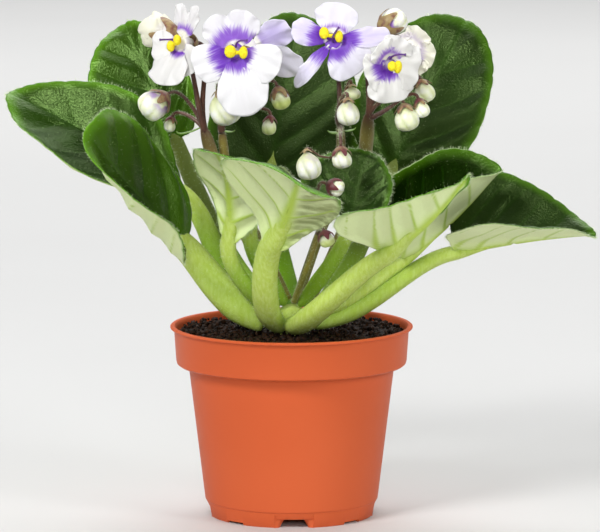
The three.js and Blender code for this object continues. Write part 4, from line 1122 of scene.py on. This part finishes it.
def roughGround(x, y, seed, size):  # two sets of waves that cross aslant, shifted at random
    shift = np.random.default_rng(seed).uniform(0, 40, 6)
    a = np.sin((x + shift[0]) / size) * np.cos((y + shift[1]) / size * 1.13)
    u, v = 0.8 * x - 0.6 * y, 0.6 * x + 0.8 * y
    return a + 0.6 * np.sin((u + shift[2]) / size * 1.7) * np.cos((v + shift[3]) / size * 1.9)


# Peat: a lumpy top that meets the wall, over a plain plug that fills the pot.
def peatBody():
    radius = pot["bandTop"][0] - pot["wall"] - peat["gap"]
    turn = fullTurn(180)
    r = radius * np.linspace(0, 1, 70)[:, None] ** 0.75
    x, y = r * np.cos(turn), r * np.sin(turn)
    rough = sum(share * roughGround(x, y, k + 1, size) for k, (share, size) in enumerate(peat["waves"]))
    top = np.stack([x, y, peat["top"] + peat["rough"] * rough], -1)
    wall = fromCorners([
        ("bandTop", 0, -10), ("bandFoot", 0, 1.4), ("bodyTop", 0, -0.6), ("bodyFoot", 0, 1.5),
        ("floor", 0, 2.1),
    ], pot["wall"] + peat["gap"])
    return ringSkin(np.concatenate([top, turned(wall, 180)]))


# Crumbs: twenty-sided lumps, stretched and turned at random, spread evenly over the peat.
def peatCrumbs():
    golden = (1 + 5**0.5) / 2
    across = [(-1, golden, 0), (1, golden, 0), (-1, -golden, 0), (1, -golden, 0)]
    base = unit(np.vstack([np.roll(across, k, 1) for k in range(3)]))
    corners = np.array([(0, 11, 5), (0, 5, 1), (0, 1, 7), (0, 7, 10), (0, 10, 11), (1, 5, 9), (5, 11, 4),
                        (11, 10, 2), (10, 7, 6), (7, 1, 8), (3, 9, 4), (3, 4, 2), (3, 2, 6), (3, 6, 8),
                        (3, 8, 9), (4, 9, 5), (2, 4, 11), (6, 2, 10), (8, 6, 7), (9, 8, 1)])
    amount = peat["crumbs"]
    radius = (pot["bandTop"][0] - pot["wall"] - 1.2) * rng.uniform(0.02, 1, amount) ** 0.5
    turn = rng.uniform(0, 2 * math.pi, amount)
    size = rng.uniform(0.35, 1.0, amount) * rng.uniform(0.6, 1.5, amount)
    height = peat["top"] + rng.uniform(-0.2, 1.0, amount)
    centre = np.stack([radius * np.cos(turn), radius * np.sin(turn), height], 1)
    spin = np.linalg.qr(rng.normal(0, 1, (amount, 3, 3)))[0]
    lumps = base[None] * (size[:, None] * rng.uniform(0.6, 1.4, (amount, 3)))[:, None]
    lumps = lumps * rng.uniform(0.75, 1.25, (amount, 12, 1))
    verts = np.einsum("nij,nkj->nki", spin, lumps) + centre[:, None]
    tris = corners[None] + 12 * np.arange(amount)[:, None, None]
    mirrored = np.linalg.det(spin) < 0
    return looseTriangles(verts, np.where(mirrored[:, None, None], tris[:, :, ::-1], tris))


addPiece("soil_fine", [peatBody(), peatCrumbs()], moistPeat, ["soil"])


# The pot is a turned wall whose foot ring is lifted where a notch is: columns double at each notch's sides.
def potSkin():
    notches = []
    for k in range(8):
        width, height = pot["notches"][k % 2]
        half = math.degrees(width / 2 / pot["foot"][0])
        middle = pot["notchTurn"] - 90 + 45 * k
        notches.append((middle - half, middle + half, height))
    sides = [side + jog for low, high, _ in notches for side in (low, high) for jog in (-0.12, 0.12)]
    turn = np.sort(np.concatenate([np.arange(-113, 247, 1.5), sides]))
    lifted = np.zeros(len(turn))
    for low, high, height in notches:
        lifted[(turn > low) & (turn < high)] = height
    inner = fromCorners([
        ("floor", 0, 1.6), ("bodyFoot", -1, -1.4), ("bodyFoot", 0, 1.5), ("bodyTop", 0, -0.6),
        ("bandFoot", 0, 1.4), ("bandTop", 0, -0.6),
    ], pot["wall"])
    outer = fromCorners([
        ("bandTop", -0.7, 0.5), ("bandTop", -0.2, 0.9), ("lip", -0.35, 0.9), ("lip", 0, 0.6),
        ("lip", 0, 0.15), ("lip", -0.25, -0.05), ("bandTop", 0.25, -0.1), ("bandTop", 0, -0.5),
        ("bandFoot", 0.1, 1.6), ("bandFoot", -0.15, 0.6), ("bandFoot", -0.9, 0), ("bodyTop", 0.8, -0.35),
        ("bodyTop", 0.2, -0.7), ("bodyTop", 0, -1.4), ("bodyFoot", 0.12, 0.6), ("bodyFoot", 0.05, 0.1),
        ("bodyFoot", -0.05, -0.1), ("footTop", 0, -0.4), ("footTop", -0.15, -1),
    ])
    ring = fromCorners([("foot", 0.05, 0.4), ("foot", -0.3, 0), ("foot", -1.4, 0), ("foot", -1.6, 0.2)])
    under = fromCorners([("foot", -2.2, 3), ("pad", 1.5, 3), ("pad", 0, 0), ("floor", 0, -3)])
    radians = np.radians(turn)
    r, z = (np.array(column)[:, None] for column in zip(*inner, *outer, *ring, *under))
    z = z + 0 * radians
    first = len(inner) + len(outer)
    footRows = slice(first, first + len(ring))
    most = np.array([9, 9, 2.95, 2.9])[:, None]  # the inner two rows stay just below the underside
    z[footRows] = np.where(lifted > 0, np.maximum(np.minimum(lifted, most), z[footRows]), z[footRows])
    return ringSkin(np.stack([r * np.cos(radians), r * np.sin(radians), z], -1))


# Two cheeks behind each wide notch slant in towards each other from the notch's sides, flaring at the ground.
def notchCheeks():
    width, height = pot["notches"][0]
    s = np.linspace(0, 1, 9)
    sweep = np.sqrt(1 - (1 - s) ** 2)
    parts = []
    for turn in np.radians(pot["notchTurn"] + 90 * np.arange(4)):
        for side in (-1, 1):
            rows = []
            for z, splay in ((0.0, 1.0), (0.6, 0.75), (1.6, 0.2), (2.6, -0.4), (height + 0.1, -1.0)):
                across = width / 2 - ((width - pot["cheekMouth"]) / 2 - splay) * sweep
                face = np.stack([across, 0.7 - pot["foot"][0] + pot["cheekDeep"] * s], 1)
                x, y = np.vstack([face, face[::-1] + [1.3, 0.9]]).T
                x = side * x
                rows.append(np.stack([x * math.cos(turn) - y * math.sin(turn),
                                      x * math.sin(turn) + y * math.cos(turn), np.full(len(x), z)], 1))
            caps = [np.repeat(row.mean(0)[None], len(row), 0) for row in (rows[0], rows[-1])]
            parts.append(ringSkin(np.array([caps[0], *rows, caps[1]])))
    return parts


potPiece = addPiece("pot_fine", [potSkin()] + notchCheeks(), potPlastic, ["pot"])
potPiece.data.set_sharp_from_angle(angle=math.radians(32))
print("pot turned")

# The studio is in metres and watts, a lens and its sensor in millimetres. A light without body only shows
# as gloss.
studio = {"floor": 6.0, "world": 0.16}
floorLook = {
    "colours": ((0.60, 0.60, 0.595), (0.64, 0.64, 0.635)), "patches": 3, "finish": {"Roughness": 0.8},
}
lights = {  # place, aim, size, power, gloss, body
    "keyBox": ((-0.62, -0.80, 0.88), (0, 0, 0.11), (0.36, 0.36), 11, True, True),
    "fillBox": ((0.85, -0.70, 0.62), (0, 0, 0.1), (0.3, 0.4), 4.5, True, True),
    "frontBox": ((0.1, -1.7, 0.52), (0, 0, 0.09), (0.45, 0.3), 8, False, True),
    "glossBox": ((-0.78, -0.95, 0.60), (0, 0, 0.14), (0.3, 0.45), 8, True, False),
    "glossBoxRight": ((0.75, -1.0, 0.50), (0, 0, 0.14), (0.14, 0.4), 5, True, False),
    "topBox": ((0.0, 0.35, 0.95), (0, 0, 0.12), (0.9, 0.5), 4, True, True),
    "backSweep": ((0.0, 1.7, 1.5), (0, 1.9, 0), (2.8, 1.6), 44, True, True),
}
# The camera stands `distance` from the height `pivot` on the pot's axis, `tilt` degrees up from it, and
# looks at `aim`.
camera = {
    "distance": 1.714, "tilt": 8.76, "pivot": 0.070, "aim": (0.00316, 0, 0.0929), "lens": 277, "sensor": 36,
}


# The floor is one wide square under the pot.
def addFloor():
    mesh = bpy.data.meshes.new("floor")
    corners = [(x * studio["floor"], y * studio["floor"], 0) for x, y in ((-1, -1), (1, -1), (1, 1), (-1, 1))]
    mesh.from_pydata(corners, [], [(0, 1, 2, 3)])
    floor = bpy.data.objects.new("floor", mesh)
    bpy.context.scene.collection.objects.link(floor)
    mesh.materials.append(newMaterial("paleFloor", patchedRecipe, floorLook))


def aimed(name, data, place, aim):  # puts a light or the camera in its place, looking at its aim
    thing = bpy.data.objects.new(name, data)
    thing.location = place
    thing.rotation_euler = (Vector(aim) - Vector(place)).to_track_quat("-Z", "Y").to_euler()
    bpy.context.scene.collection.objects.link(thing)
    return thing


# A light is a flat rectangle turned to its aim.
def addLight(name, place, aim, size, power, gloss, body):
    light = bpy.data.lights.new(name, "AREA")
    light.shape = "RECTANGLE"
    light.size, light.size_y = size
    light.energy = power
    lamp = aimed(name, light, place, aim)
    lamp.visible_glossy, lamp.visible_diffuse = gloss, body


# The camera's place is `distance` along a line that rises by its tilt.
def addCamera():
    tilt, distance = math.radians(camera["tilt"]), camera["distance"]
    place = (camera["aim"][0], -distance * math.cos(tilt), camera["pivot"] + distance * math.sin(tilt))
    lens = bpy.data.cameras.new("camera")
    lens.lens, lens.sensor_width, lens.clip_end = camera["lens"], camera["sensor"], 30
    bpy.context.scene.camera = aimed("camera", lens, place, camera["aim"])


addFloor()
for name, setting in lights.items():
    addLight(name, *setting)
addCamera()
world = bpy.data.worlds.new("studio")
world.use_nodes = True
background = world.node_tree.nodes["Background"]
background.inputs["Color"].default_value = (1, 1, 1, 1)
background.inputs["Strength"].default_value = studio["world"]
bpy.context.scene.world = world
bpy.context.scene.view_settings.view_transform = "Standard"
print("stage lit")
